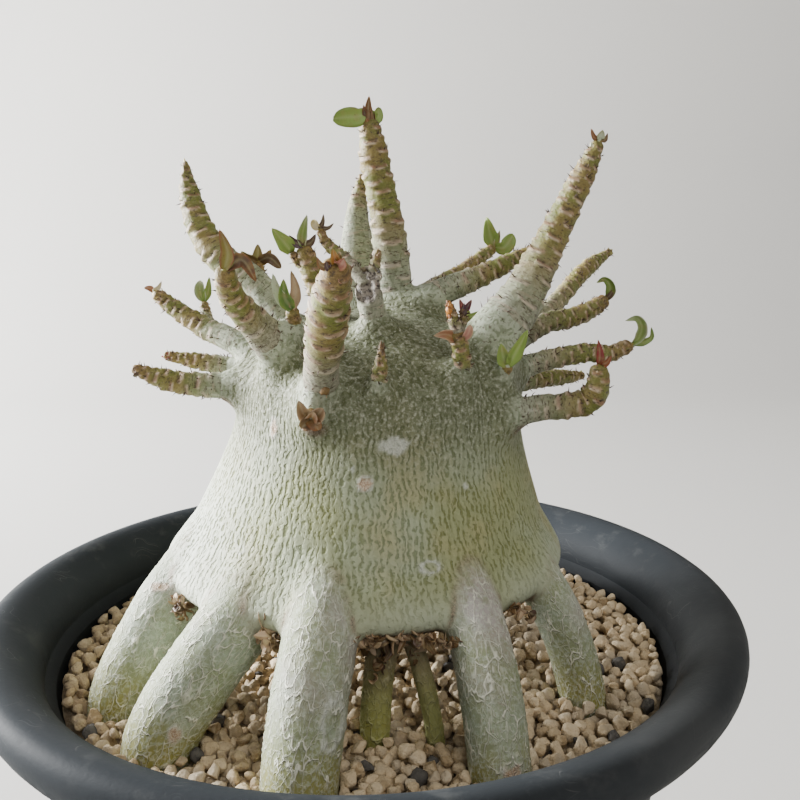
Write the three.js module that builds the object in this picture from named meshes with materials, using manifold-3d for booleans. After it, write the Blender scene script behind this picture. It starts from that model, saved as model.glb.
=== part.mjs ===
// Potted desert rose: a swollen trunk on thick bare roots, with short scarred stems and small leaves,
// in a round pot with a rolled lip, filled with pumice gravel. Millimetres, +Z up, seen from -Y.
// The origin is on the floor under the middle of the pot.
import * as THREE from 'three';
import { mergeVertices } from 'three/addons/utils/BufferGeometryUtils.js';
import Module from 'manifold-3d';

const wasm = await Module();
wasm.setup();

// Driving dimensions of the pot
const LIP_RADIUS = 101;
const LIP_Z = 139.3;
const LIP_HALF_LENGTH = 11;
const LIP_HALF_THICKNESS = 6.8;
const LIP_TILT = 46;
const WALL = 2.6;
const WALL_TOP_RADIUS = 91.3;
const FOOT_RADIUS = 72;
const FOOT_WIDTH = 10;
const FOOT_HEIGHT = 3;
const WALL_TOP_Z = 129;
const POT_SEGMENTS = 36;
const DRAIN_RADIUS = 5;
const DRAIN_RING = 40;
const DRAIN_COUNT = 6;

// Driving dimensions of the gravel
const GAP = 0.3;
const GRAVEL_Z = 131;
const GRAVEL_SEGMENTS = 46;
const GRAVEL_RINGS = 11;
const GRAVEL_RELIEF = 1.7;
const GRAIN_COUNT = 38;
const GRAIN_RADIUS = 5;

// Driving dimensions of the trunk: radius and height from its underside to its crown
const TRUNK_CENTRE_Y = -4;
const TRUNK_SEGMENTS = 36;
const TRUNK_RIDGE = 0.5;
const TRUNK_PROFILE = [
  [0, 161], [34, 160], [49, 159.5], [55.5, 161.5], [56.8, 165], [54, 170], [50, 176], [46.6, 184],
  [43.5, 192], [41, 200], [39.8, 207], [39, 213], [35.5, 220], [28, 226], [15, 231.5], [0, 233.5],
];

// Leaf scars along the stems, larger than life
const SCAR_STEP = 3.4;
const SCAR_HEIGHT = 0.1;
const LEAF_THICKNESS = 0.8;

const colours = {
  pot: ['#25282b', 0.55],
  gravel: ['#b29c7b', 0.95],
  bark: ['#b4b9a4', 0.85],
  stem: ['#9a9a78', 0.85],
  green: ['#6f9143', 0.5],
  brown: ['#8a5a35', 0.75],
};

// Seeded random numbers from 0 to 1
let seed = 20417;
function random() {
  seed = (seed * 1103515245 + 12345) % 2147483648;
  return seed / 2147483648;
}

// Closed solid of a geometry, with shared corners merged and empty triangles dropped
function solid(geometry) {
  geometry.deleteAttribute('normal');
  geometry.deleteAttribute('uv');
  const merged = mergeVertices(geometry, 1e-4);
  const corners = merged.index.array;
  const triangles = [];
  for (let i = 0; i < corners.length; i += 3) {
    const [a, b, c] = corners.slice(i, i + 3);
    if (a !== b && b !== c && c !== a) triangles.push(a, b, c);
  }
  return new wasm.Manifold(new wasm.Mesh({
    numProp: 3,
    vertProperties: Float32Array.from(merged.attributes.position.array),
    triVerts: Uint32Array.from(triangles),
  }));
}

// Largest body of a solid, without the scraps that a cut leaves
function largest(body) {
  return body.decompose().sort((a, b) => b.volume() - a.volume())[0];
}

function join(bodies) {
  return bodies.reduce((whole, next) => whole.add(next));
}

const group = new THREE.Group();

function place(name, body, look) {
  const mesh = body.getMesh();
  const geometry = new THREE.BufferGeometry();
  geometry.setAttribute('position', new THREE.BufferAttribute(mesh.vertProperties, 3));
  geometry.setIndex(new THREE.BufferAttribute(mesh.triVerts, 1));
  const [colour, roughness] = colours[look];
  const material = new THREE.MeshStandardMaterial({ color: colour, roughness, metalness: 0 });
  const piece = new THREE.Mesh(geometry, material);
  piece.name = name;
  group.add(piece);
}

// Solid of revolution about +Z from [radius, height] points
function turned(points, segments) {
  const profile = points.map(([radius, height]) => new THREE.Vector2(radius, height));
  return new THREE.LatheGeometry(profile, segments).rotateX(Math.PI / 2);
}

// Value at a fraction of an evenly spaced list
function along(values, fraction) {
  const at = THREE.MathUtils.clamp(fraction, 0, 1) * (values.length - 1);
  const low = Math.min(Math.floor(at), values.length - 2);
  return THREE.MathUtils.lerp(values[low], values[low + 1], at - low);
}

function curveOf(points) {
  return new THREE.CatmullRomCurve3(points.map((point) => new THREE.Vector3(...point)));
}

// Tapered rod on a smooth curve: the rings of a cylinder are moved onto the curve
function rod(points, radii, options = {}) {
  const { sides = 7, step = 5, from = 0, to = 1, grow = 0, relief = () => 0 } = options;
  const curve = curveOf(points);
  const rings = Math.max(1, Math.round((curve.getLength() * (to - from)) / step));
  const geometry = new THREE.CylinderGeometry(1, 1, 1, sides, rings);
  const frames = [];
  const across = new THREE.Vector3(0.3, 1, 0.2);
  for (let ring = 0; ring <= rings; ring++) {
    const at = from + ((to - from) * ring) / rings;
    const heading = curve.getTangentAt(at);
    across.addScaledVector(heading, -across.dot(heading)).normalize();
    const middle = curve.getPointAt(at);
    if (ring === 0) middle.addScaledVector(heading, -grow);
    if (ring === rings) middle.addScaledVector(heading, grow);
    frames.push({ at, middle, out: across.clone(), side: across.clone().cross(heading) });
  }
  const corners = geometry.attributes.position;
  const corner = new THREE.Vector3();
  for (let i = 0; i < corners.count; i++) {
    corner.fromBufferAttribute(corners, i);
    const ring = Math.round((corner.y + 0.5) * rings);
    const turn = Math.atan2(corner.z, corner.x) / (2 * Math.PI);
    const frame = frames[ring];
    const lift = 1 + relief(ring, turn, frame.at);
    const radius = Math.hypot(corner.x, corner.z) * (along(radii, frame.at) * lift + grow);
    const moved = frame.middle.clone();
    moved.addScaledVector(frame.out, radius * Math.cos(turn * 2 * Math.PI));
    moved.addScaledVector(frame.side, radius * Math.sin(turn * 2 * Math.PI));
    corners.setXYZ(i, moved.x, moved.y, moved.z);
  }
  return solid(geometry);
}

// Pot: foot ring, tapering wall and a rolled lip that leans outward, turned in one piece
function innerRadius(height) {
  const floor = FOOT_RADIUS - WALL;
  return floor + ((WALL_TOP_RADIUS - WALL - floor) * height) / WALL_TOP_Z;
}

// Point on the outline of the lip's section, at an angle from its upper outer end
function lipPoint(degrees) {
  const lengthways = LIP_HALF_LENGTH * Math.cos(THREE.MathUtils.degToRad(degrees));
  const across = LIP_HALF_THICKNESS * Math.sin(THREE.MathUtils.degToRad(degrees));
  const tilt = THREE.MathUtils.degToRad(LIP_TILT);
  return [
    LIP_RADIUS + lengthways * Math.cos(tilt) - across * Math.sin(tilt),
    LIP_Z + lengthways * Math.sin(tilt) + across * Math.cos(tilt),
  ];
}

function potProfile() {
  const profile = [
    [0, FOOT_HEIGHT],
    [FOOT_RADIUS - FOOT_WIDTH - 1.5, FOOT_HEIGHT],
    [FOOT_RADIUS - FOOT_WIDTH, 0],
    [FOOT_RADIUS - 1.5, 0],
    [FOOT_RADIUS, 1.5],
    [WALL_TOP_RADIUS, WALL_TOP_Z],
  ];
  for (let degrees = -150; degrees <= 150; degrees += 30) {
    profile.push(lipPoint(degrees));
  }
  profile.push([innerRadius(WALL_TOP_Z + 3), WALL_TOP_Z + 3]);
  profile.push([innerRadius(FOOT_HEIGHT + WALL), FOOT_HEIGHT + WALL]);
  profile.push([0, FOOT_HEIGHT + WALL]);
  return profile;
}

function drainHole(x, y) {
  const hole = new THREE.CylinderGeometry(DRAIN_RADIUS, DRAIN_RADIUS, 20, 12).rotateX(Math.PI / 2);
  return solid(hole.translate(x, y, FOOT_HEIGHT));
}

let pot = solid(turned(potProfile(), POT_SEGMENTS)).subtract(drainHole(0, 0));
for (let i = 0; i < DRAIN_COUNT; i++) {
  const angle = (2 * Math.PI * i) / DRAIN_COUNT;
  pot = pot.subtract(drainHole(DRAIN_RING * Math.cos(angle), DRAIN_RING * Math.sin(angle)));
}
place('pot', pot, 'pot');

// Roots: points from inside the trunk to below the gravel, and the radius along each
const ROOT_SIDES = 8;
const ROOT_RELIEF = 0.035;
const ROOTS = [
  { path: [[-32, -11, 178], [-44, -17.5, 168], [-52, -22.5, 158], [-59, -27, 146.5], [-65.5, -31, 134],
    [-68, -33, 118], [-69, -34, 100]], radii: [5.5, 7.6, 9, 9, 8.6, 7, 3] },
  { path: [[-18, -28, 177], [-27, -40, 168], [-33, -46.5, 159], [-40, -50, 150.5], [-50, -55, 135.5],
    [-54, -56, 119], [-54, -54, 102]], radii: [5.5, 7.8, 9.4, 9.4, 9, 7, 3] },
  { path: [[-7, -34, 180], [-9, -48, 171], [-10.6, -58, 162], [-13.4, -67, 148.5], [-15.5, -74, 133],
    [-16, -75, 118], [-16, -74, 100]], radii: [5.5, 7.4, 9, 9.2, 9, 7, 3] },
  { path: [[19, -31, 180], [24, -45, 171], [27, -54, 162], [29.7, -64, 148], [31, -70.5, 134],
    [31.5, -73, 118], [31, -73, 100]], radii: [5, 6.2, 7.4, 7.5, 7.4, 6, 3] },
  { path: [[34, -17, 180], [42.5, -26, 169], [49, -31, 160], [54.6, -34.5, 147.5], [58, -36.5, 135],
    [60, -38, 118], [60.5, -38.5, 100]], radii: [4.5, 5.6, 6.4, 6.3, 6.2, 5, 2.5] },
  { path: [[5, -46, 168], [4.5, -51, 158], [3, -52, 145], [2.2, -53, 135], [2, -53, 120]],
    radii: [4.2, 4, 3.8, 3.8, 2.5] },
  { path: [[10.5, -48, 168], [11.6, -52, 158.5], [14.5, -54, 147], [16.8, -55, 135.5], [18, -56, 120]],
    radii: [2.4, 2.4, 2.4, 2.3, 1.6] },
  { path: [[32, 18, 180], [41, 26, 166], [51, 36, 148], [57, 43, 134], [60, 46, 116], [61, 47, 100]],
    radii: [5, 6.6, 7.6, 7.4, 6, 3] },
  { path: [[12, 34, 180], [14, 44, 167], [17, 56, 150], [19, 66, 134], [20, 69, 118], [20, 70, 100]],
    radii: [5.5, 7.4, 8.6, 8.4, 7, 3] },
  { path: [[-18, 30, 180], [-24, 41, 166], [-32, 54, 148], [-37, 62, 134], [-40, 65, 116], [-41, 66, 100]],
    radii: [5.5, 7.4, 8.8, 8.6, 7, 3] },
  { path: [[-34, 10, 180], [-44, 15, 166], [-54, 21, 148], [-60, 26, 134], [-63, 28, 116], [-64, 29, 100]],
    radii: [5, 6.4, 7.2, 7, 6, 3] },
];

// Raised net on the roots: ring by ring the high corners step to the next side
function netRelief(ring, turn) {
  return ((Math.round(turn * ROOT_SIDES) + ring) % 2 === 0 ? 1 : -1) * ROOT_RELIEF;
}

function root({ path, radii }, grow = 0) {
  return rod(path, radii, { sides: ROOT_SIDES, step: 13, grow, relief: netRelief });
}

// Gravel: a bed with a rough top, coarse grains sunk half into it, and plain holes for the roots
function grain(x, y, z, radius) {
  const stone = new THREE.IcosahedronGeometry(radius);
  stone.scale(0.8 + 0.4 * random(), 0.8 + 0.3 * random(), 0.7 + 0.3 * random());
  stone.rotateX(2 * Math.PI * random()).rotateY(2 * Math.PI * random());
  return solid(stone.translate(x, y, z));
}

// Fixed random height from -1 to 1 for a corner of the bed's top
function roughness(ring, segment) {
  const wave = Math.sin(ring * 12.9898 + segment * 78.233) * 43758.5453;
  return ((ring + segment) % 2 === 0 ? 0.5 : -0.5) + (wave - Math.floor(wave)) - 0.5;
}

function gravelBed() {
  const bottom = FOOT_HEIGHT + WALL + GAP;
  const rim = innerRadius(GRAVEL_Z - 2) - 2 * GAP;
  const profile = [[0, bottom], [innerRadius(bottom) - 2 * GAP, bottom], [rim, GRAVEL_Z - 2]];
  for (let ring = 1; ring < GRAVEL_RINGS; ring++) {
    profile.push([rim * (1 - ring / GRAVEL_RINGS), GRAVEL_Z]);
  }
  profile.push([0, GRAVEL_Z]);
  const geometry = turned(profile, GRAVEL_SEGMENTS);
  const corners = geometry.attributes.position;
  for (let i = 0; i < corners.count; i++) {
    const ring = i % profile.length;
    const segment = Math.floor(i / profile.length) % GRAVEL_SEGMENTS;
    if (ring > 2 && ring < profile.length - 1) {
      corners.setZ(i, GRAVEL_Z + GRAVEL_RELIEF * roughness(ring, segment));
    }
  }
  return solid(geometry);
}

const goldenAngle = Math.PI * (3 - Math.sqrt(5));
let gravel = gravelBed();
for (let i = 0; i < GRAIN_COUNT; i++) {
  const reach = (innerRadius(GRAVEL_Z) - GRAIN_RADIUS - 1) * Math.sqrt((i + 0.5) / GRAIN_COUNT);
  const angle = i * goldenAngle + 0.3 * random();
  const height = GRAVEL_Z + 0.8 + 0.8 * random();
  const radius = GRAIN_RADIUS * (0.85 + 0.3 * random());
  gravel = gravel.add(grain(reach * Math.cos(angle), reach * Math.sin(angle), height, radius));
}
for (const shape of ROOTS) {
  gravel = gravel.subtract(root(shape, GAP));
}
place('gravel', largest(gravel), 'gravel');

// Trunk: a turned bell, moved off the axis and ridged from top to bottom
function trunk() {
  const geometry = turned(TRUNK_PROFILE, TRUNK_SEGMENTS);
  const corners = geometry.attributes.position;
  for (let i = 0; i < corners.count; i++) {
    const [x, y, z] = [corners.getX(i), corners.getY(i), corners.getZ(i)];
    const segment = Math.round((Math.atan2(y, x) / (2 * Math.PI)) * TRUNK_SEGMENTS);
    const reach = Math.hypot(x, y);
    const ridge = reach > 30 && z > 162 && z < 212 ? TRUNK_RIDGE * (segment % 2 === 0 ? 1 : -1) : 0;
    const scale = reach > 0 ? (reach + ridge) / reach : 1;
    const shift = THREE.MathUtils.clamp(1 + (z - 170) / 9, 0, 5);
    corners.setXYZ(i, x * scale + shift, y * scale + TRUNK_CENTRE_Y, z);
  }
  return solid(geometry);
}

// Stems: each starts inside the trunk, its first stretch is a collar of the trunk, and the rest is its own
// piece. A stem may carry twigs, and its tip or a twig's tip may carry a bud with leaves.
const STEMS = [
  { name: 'mid_tall', collar: 15,
    path: [[12, 4, 221], [10, 5, 240], [8, 5, 258], [5, 5, 273], [3.5, 5, 284]],
    radii: [5.4, 5.3, 5.2, 5.2, 5, 4.5, 4.1, 4.3, 2.8],
    bud: { length: 8, radius: 2, look: 'green', leaves: [
      { path: [[1, 4, 286.5], [-3, 2, 286], [-6.5, 0, 285.5]], width: 2.9 },
      { path: [[5.5, 7, 286], [6.3, 9, 289.5]], width: 1.3 },
    ] } },
  { name: 'mid_pale', collar: 14, path: [[0, 19, 222], [-0.5, 22, 245], [-0.5, 25, 259], [1, 28, 271]],
    radii: [5.8, 5.9, 5.7, 4.9, 3.2, 1] },
  { name: 'left_tall', collar: 12, path: [[-14, 7, 221], [-22, 10, 229], [-31, 14, 240], [-42, 18, 248],
    [-48, 22, 257], [-51, 25, 268], [-51.5, 25, 275]],
    radii: [4.8, 4.4, 4.2, 4.4, 4.6, 4.6, 4.3, 3.8, 2.9, 0.9],
    twigs: [{ path: [[-29, 14, 238], [-30, 18.5, 241], [-30.5, 20, 244.5]], radii: [2, 1.9, 1.8],
      bud: { length: 2, radius: 1.6, look: 'brown', leaves: [
        { path: [[-33.5, 20, 247], [-35, 20, 249]], width: 1.5 },
        { path: [[-30.5, 21, 248.5], [-30.5, 21.5, 251]], width: 1.5 },
        { path: [[-28, 20, 247], [-26.5, 20, 249]], width: 1.5 },
        { path: [[-27, 19, 247], [-23.5, 18.5, 244]], width: 1.3 },
      ] } }] },
  { name: 'left_front', collar: 15, path: [[-17, -20, 217], [-22, -27, 227], [-26, -31, 233],
    [-29.5, -35, 238], [-31.5, -40, 243], [-31.5, -44, 247]], radii: [6.2, 5.9, 5.2, 4.4, 3.6, 3.1, 2.5],
    bud: { length: 2, radius: 2, look: 'green', leaves: [
      { path: [[-30, -46, 251.5], [-31.5, -47, 256]], width: 1.9 },
      { path: [[-27.5, -44.5, 249.5], [-24.5, -42.5, 245]], width: 1.7 },
    ] } },
  { name: 'left_side', collar: 12, path: [[-26, -5, 218], [-34, -2, 224], [-44.5, 4, 228], [-54.5, 8, 234],
    [-58.5, 9, 237]], radii: [4.2, 3.9, 3.5, 3.1, 2.7, 2],
    twigs: [{ path: [[-43, 4, 228], [-45, 9, 232], [-45.5, 10.5, 234]], radii: [1.8, 1.6, 1.4],
      bud: { length: 1.5, radius: 1.2, look: 'green', leaves: [
        { path: [[-47, 12, 238], [-46.5, 12.5, 241]], width: 1.3 },
        { path: [[-44.5, 12, 238], [-44, 12, 242]], width: 1 },
      ] } }],
    bud: { length: 2.4, radius: 1.8, look: 'brown', leaves: [
      { path: [[-60.5, 9.5, 239], [-62.5, 10, 239.5]], width: 0.9 },
    ] } },
  { name: 'left_low_front', collar: 13, path: [[-24, -12, 213.5], [-34.5, -12, 214], [-44, -12, 214.5],
    [-53.5, -12, 216], [-61.5, -12, 219]], radii: [4.8, 4.3, 3.6, 3.2, 2.9, 1.4] },
  { name: 'left_low_back', collar: 13,
    path: [[-25, 4, 214], [-37, 6, 216], [-45.5, 7, 217.5], [-57, 8, 219.5]],
    radii: [3.6, 3.2, 2.8, 2.4, 1.2] },
  { name: 'front', collar: 12, path: [[-10, -32, 210], [-9.5, -45, 224], [-8.5, -52, 230], [-7, -62, 239.5],
    [-5.5, -69, 246], [-5, -72, 249.5]], radii: [6.2, 5, 4.3, 4.4, 4.7, 4.4, 3.2],
    bud: { length: 2.4, radius: 2.4, look: 'green', leaves: [
      { path: [[-3.5, -74, 251], [-2.8, -74.5, 252]], width: 1.2 },
      { path: [[-5, -73.5, 252.5], [-5, -73.5, 254]], width: 1.3 },
    ] } },
  { name: 'front_brown', collar: 7.6, path: [[-11.5, -37, 211.5], [-12, -47, 212.7]], radii: [3, 2.7, 2.4],
    bud: { length: 1.6, radius: 2, look: 'brown', leaves: [
      { path: [[-14, -49, 214.5], [-15, -49.5, 216.5]], width: 1 },
      { path: [[-10, -49, 214.5], [-8.8, -49.5, 216]], width: 1 },
      { path: [[-14, -49.2, 211.5], [-15, -49.6, 210.3]], width: 1 },
      { path: [[-10.2, -49.2, 211.5], [-9.2, -49.6, 210.3]], width: 1 },
    ] } },
  { name: 'front_thin', collar: 9.5,
    path: [[4, -37, 214.5], [4.3, -43, 219], [4.7, -44, 224], [5, -44.5, 229.5]],
    radii: [2.2, 2, 1.9, 0.5] },
  { name: 'cut', collar: 14.5, path: [[7, -18, 219], [5.5, -21, 228], [3, -23, 236], [1.5, -24, 246.5]],
    radii: [4.8, 4, 3.5, 3.4, 3.3],
    twigs: [
      { path: [[1.5, -22, 242], [-2.5, -18.5, 247.5], [-6, -16.5, 250.5], [-8.5, -15.5, 252.5],
        [-10, -15, 255.5]],
        radii: [1.9, 1.7, 1.6, 1.5, 1.2],
        bud: { length: 1.5, radius: 1, look: 'brown', leaves: [
          { path: [[-11.3, -15, 257], [-12, -15, 258.5]], width: 0.8 },
          { path: [[-9.5, -15, 258.5], [-9.3, -15, 260]], width: 0.8 },
        ] } },
      { path: [[3, -21, 243], [4, -20.5, 247], [5, -20, 250.5]], radii: [1.3, 1.5, 0.9] },
    ] },
  { name: 'mid_left', collar: 9,
    path: [[-8, -11, 226], [-10.5, -12, 237], [-13, -13, 246], [-14.5, -14, 250.5]],
    radii: [2.6, 2.5, 2.8, 3.1, 2.3],
    twigs: [{ path: [[-13, -13, 244], [-16.3, -13.5, 247.8], [-17.6, -13.6, 249.6]], radii: [1.4, 1.3, 1.2],
      bud: { length: 1, radius: 1, look: 'green', leaves: [
        { path: [[-19.5, -14.5, 253], [-22.5, -15.5, 256]], width: 2.2 },
      ] } }],
    bud: { length: 2, radius: 1.7, look: 'green', leaves: [
      { path: [[-15, -14, 255.5], [-13.5, -14, 259.5]], width: 1.3 },
    ] } },
  { name: 'left_short', collar: 10.5, path: [[-17, -22, 222], [-16.8, -26, 230], [-17, -30, 236]],
    radii: [2.2, 1.9, 1.8],
    bud: { length: 1.2, radius: 1.4, look: 'green', leaves: [
      { path: [[-20.5, -31, 241.5], [-21.5, -32, 246]], width: 1.5 },
      { path: [[-19, -31.5, 240.5], [-18.5, -32, 244]], width: 1.4 },
      { path: [[-16, -31, 241.5], [-17, -31, 246]], width: 1.3 },
    ] } },
  { name: 'right_inner', collar: 17, path: [[10, 0, 226], [17, 0, 233], [23, 2, 237.5], [32, 4, 241],
    [39.5, 6, 244], [50, 9, 249]], radii: [5, 4.7, 4.2, 3.7, 3.1, 2.6, 1.4] },
  { name: 'right_behind', collar: 16, path: [[9, 10, 226], [16, 13, 234.5], [24, 17, 239], [30.5, 21, 242],
    [41, 27, 248.5]], radii: [3.6, 3.2, 2.6, 2.3, 2.1, 1.8],
    bud: { length: 2.2, radius: 1.4, look: 'green', leaves: [
      { path: [[40.8, 27.8, 252.5], [39.8, 28, 258]], width: 2.3 },
      { path: [[45, 27.5, 249], [48, 29, 252.5]], width: 1.9 },
      { path: [[43, 28, 251.5], [43.7, 28, 254]], width: 0.9 },
    ] } },
  { name: 'right_tall', collar: 22, path: [[27, -14, 212], [33.5, -17, 221], [37.5, -16, 229],
    [43.5, -14, 237], [49, -12, 247], [56, -11, 261], [61.5, -10, 272], [64, -10, 277.5]],
    radii: [9.5, 9, 8.2, 7, 5.8, 4.9, 4.2, 3.7, 3.2, 1.9],
    bud: { length: 2.4, radius: 1.3, look: 'brown', leaves: [
      { path: [[63.3, -10, 280], [63, -10, 281.5]], width: 0.8 },
      { path: [[65.5, -10, 280], [66.3, -10, 281]], width: 0.8 },
    ] } },
  { name: 'right_front', collar: 9.5,
    path: [[24, -28, 215], [25.5, -34, 221], [25, -35.5, 227], [24, -36, 231]],
    radii: [2.6, 2.4, 2.3, 1.9],
    twigs: [
      { path: [[24.5, -35.5, 229], [23.5, -36.5, 234], [22, -36.5, 238.5]], radii: [1.7, 1.7, 0.6] },
      { path: [[24.5, -35.5, 230], [25.8, -36, 237.5]], radii: [1.3, 1.3, 0.6] },
    ],
    leaves: [{ path: [[25, -35.5, 229], [21.5, -37.5, 230.5], [18, -39, 231]], width: 1.4 }] },
  { name: 'right_back', collar: 21, path: [[26, 4, 212], [42, 12, 221], [57, 20, 229.5], [63, 26, 233.5],
    [70.5, 33, 240], [77.5, 40, 244], [83, 45, 246.5]], radii: [4.2, 3.8, 3.4, 3, 2.8, 2.7, 2.5, 1] },
  { name: 'right_side', collar: 25, path: [[27, -2, 211], [40, 1, 220], [49.5, 3, 226], [55.5, 5, 228.5],
    [61.5, 8, 229], [68.5, 11, 231], [73, 12.5, 233.5]], radii: [5, 4.6, 4, 3.4, 3, 3, 2.8, 2.2],
    bud: { length: 1.5, radius: 1.6, look: 'green', leaves: [
      { path: [[75, 12.5, 237.5], [72.5, 12, 240], [69, 11.5, 239]], width: 1.6 },
    ] } },
  { name: 'right_long', collar: 20, path: [[26, -10, 208], [38, -10, 214], [47.5, -8, 218], [56.5, -7, 220],
    [64.5, -6, 221], [71, -5, 220.5], [76, -5, 222.5]], radii: [4.6, 4.2, 3.6, 3, 2.8, 2.6, 2],
    bud: { length: 2.4, radius: 1.7, look: 'green', leaves: [
      { path: [[79, -5, 226.5], [78, -6.5, 229.8], [74, -8, 230.5]], width: 1.7 },
      { path: [[81, -4, 224], [82.5, -3, 227.3]], width: 1.1 },
    ] } },
  { name: 'right_low', collar: 17, path: [[28, 4, 203], [40, 10, 207], [48.5, 15, 208.5], [59, 22, 208.5],
    [71.5, 31, 207.5]], radii: [4, 3.4, 3, 2.7, 2.5, 1.4] },
  { name: 'right_hook', collar: 20.5, path: [[24, -20, 201], [34, -25, 205.5], [39, -27, 208], [47, -28, 210],
    [54, -30, 211], [59, -31, 212.5], [61, -32, 216.5], [61, -32, 220.5]],
    radii: [6.5, 6, 5, 4.2, 3.6, 3.4, 3.5, 3.5, 2.4],
    bud: { length: 2.2, radius: 2, look: 'brown', leaves: [
      { path: [[61, -32.5, 224.5], [60.5, -33, 228]], width: 0.9 },
    ] } },
  { name: 'right_leafy', collar: 13, path: [[30, -19, 212], [36, -27, 218], [37.5, -29.5, 221]],
    radii: [3, 2.6, 1.8],
    bud: { length: 1.4, radius: 1.4, look: 'green', leaves: [
      { path: [[36.3, -30.5, 224], [37, -31, 227.5]], width: 1.7 },
      { path: [[40, -30.5, 226], [42.5, -31, 230.5]], width: 1.7 },
    ] } },
  { name: 'back_left', collar: 20, path: [[-10, 12, 208], [-20, 30, 216], [-25, 44, 222], [-27, 56, 227]],
    radii: [5, 4.4, 3.4, 2.8, 1.6] },
  { name: 'back_mid', collar: 21, path: [[-2, 14, 209], [-5, 34, 217], [-7, 52, 221], [-8, 65, 226]],
    radii: [5, 4.2, 3.4, 2.8, 2],
    bud: { length: 1.6, radius: 1.4, look: 'green', leaves: [
      { path: [[-10, 69, 228], [-11, 72, 228]], width: 1.6 },
      { path: [[-6, 69, 228], [-4, 71, 227.5]], width: 1.4 },
    ] } },
  { name: 'back_right', collar: 21, path: [[10, 14, 209], [11, 34, 216], [13, 54, 222], [14, 68, 226.5]],
    radii: [5, 4.2, 3.2, 2.8, 1.4] },
  { name: 'back_far_right', collar: 20, path: [[18, 12, 208], [26, 28, 215], [32, 44, 220], [36, 54, 223]],
    radii: [4.6, 4, 3.2, 2.6, 2],
    bud: { length: 1.4, radius: 1.4, look: 'green', leaves: [
      { path: [[37, 58, 226], [37, 60, 227]], width: 1.6 },
      { path: [[40, 56, 225], [42, 57, 226]], width: 1.3 },
    ] } },
  { name: 'back_low', collar: 26, path: [[4, 14, 198], [5, 34, 203], [6, 50, 209], [6, 58, 216]],
    radii: [4.6, 4.2, 3.4, 2.8, 1.4] },
];

// Leaf scars: high and low corners climb round the stem, beyond its smooth lower third
function scarRelief(ring, turn, at) {
  if (at < 0.36 || at > 0.97) return 0;
  const step = (ring / 2 + turn + 1) % 1;
  return step < 0.5 ? SCAR_HEIGHT : -SCAR_HEIGHT;
}

// Leaf: a flat blade on a curve, its broad side to the front
function leaf(start, { path, width }) {
  const curve = curveOf([start, ...path]);
  const steps = 3;
  const geometry = new THREE.CylinderGeometry(Math.SQRT2, Math.SQRT2, 1, 4, steps, false, Math.PI / 4);
  const corners = geometry.attributes.position;
  for (let i = 0; i < corners.count; i++) {
    const at = corners.getY(i) + 0.5;
    const heading = curve.getTangentAt(at);
    const side = heading.clone().cross(new THREE.Vector3(0, 1, 0)).normalize();
    const face = side.clone().cross(heading);
    const spread = width * (0.3 + 0.7 * Math.sin(Math.PI * Math.min(1, 0.1 + 0.82 * at)));
    const moved = curve.getPointAt(at).addScaledVector(side, corners.getX(i) * spread);
    moved.addScaledVector(face, (corners.getZ(i) * LEAF_THICKNESS) / 2);
    corners.setXYZ(i, moved.x, moved.y, moved.z);
  }
  return solid(geometry);
}

// Bud at a tip, a gap away from the stem's flat end, with leaves that start inside it
function tuft(points, { length, radius, leaves }) {
  const curve = curveOf(points);
  const heading = curve.getTangentAt(1);
  const end = curve.getPointAt(1);
  const start = end.clone().addScaledVector(heading, GAP);
  const top = end.clone().addScaledVector(heading, GAP + length);
  const ends = [start.toArray(), top.toArray()];
  const core = rod(ends, [radius, radius, radius * 0.35], { sides: 5, step: length / 2 });
  const middle = end.clone().addScaledVector(heading, GAP + length * 0.55).toArray();
  return join([core, ...leaves.map((shape) => leaf(middle, shape))]);
}

const collars = [];
for (const stem of STEMS) {
  const length = curveOf(stem.path).getLength();
  const seam = stem.collar / length;
  collars.push(rod(stem.path, stem.radii, { to: seam, step: 12 }));
  const bodies = [rod(stem.path, stem.radii, {
    from: seam + GAP / length,
    step: SCAR_STEP,
    relief: scarRelief,
  })];
  if (stem.bud) place(`tip_${stem.name}`, tuft(stem.path, stem.bud), stem.bud.look);
  for (const twig of stem.twigs ?? []) {
    bodies.push(rod(twig.path, twig.radii, { sides: 7, step: 3 }));
    if (twig.bud) place(`twig_tip_${stem.name}`, tuft(twig.path, twig.bud), twig.bud.look);
  }
  for (const shape of stem.leaves ?? []) {
    bodies.push(leaf(shape.path[0], { path: shape.path.slice(1), width: shape.width }));
  }
  place(`stem_${stem.name}`, join(bodies), 'stem');
}

place('caudex', join([trunk(), ...ROOTS.map((shape) => root(shape)), ...collars]), 'bark');

export default group;
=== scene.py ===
import math

import bmesh
import bpy
import numpy as np
from mathutils import Matrix, Vector


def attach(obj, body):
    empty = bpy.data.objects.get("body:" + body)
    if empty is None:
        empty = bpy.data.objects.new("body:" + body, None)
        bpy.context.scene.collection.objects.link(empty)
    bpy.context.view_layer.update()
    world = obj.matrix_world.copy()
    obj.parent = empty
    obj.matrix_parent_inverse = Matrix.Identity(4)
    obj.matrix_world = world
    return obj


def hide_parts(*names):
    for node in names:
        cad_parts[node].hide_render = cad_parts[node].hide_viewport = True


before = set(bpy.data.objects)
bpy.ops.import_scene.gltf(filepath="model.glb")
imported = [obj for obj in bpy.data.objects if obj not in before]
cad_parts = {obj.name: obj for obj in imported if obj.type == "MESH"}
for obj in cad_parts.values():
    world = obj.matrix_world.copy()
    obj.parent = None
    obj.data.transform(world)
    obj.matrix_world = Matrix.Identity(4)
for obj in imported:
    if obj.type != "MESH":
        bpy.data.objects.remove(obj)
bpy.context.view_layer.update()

# The shapes are in millimetres until they become a mesh, in the frame of the CAD model. The camera,
# the backdrop and the lamps are in metres.
MM = 0.001
SKIN_CELL = 0.73
rng = np.random.default_rng(20417)


# Camera

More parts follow.
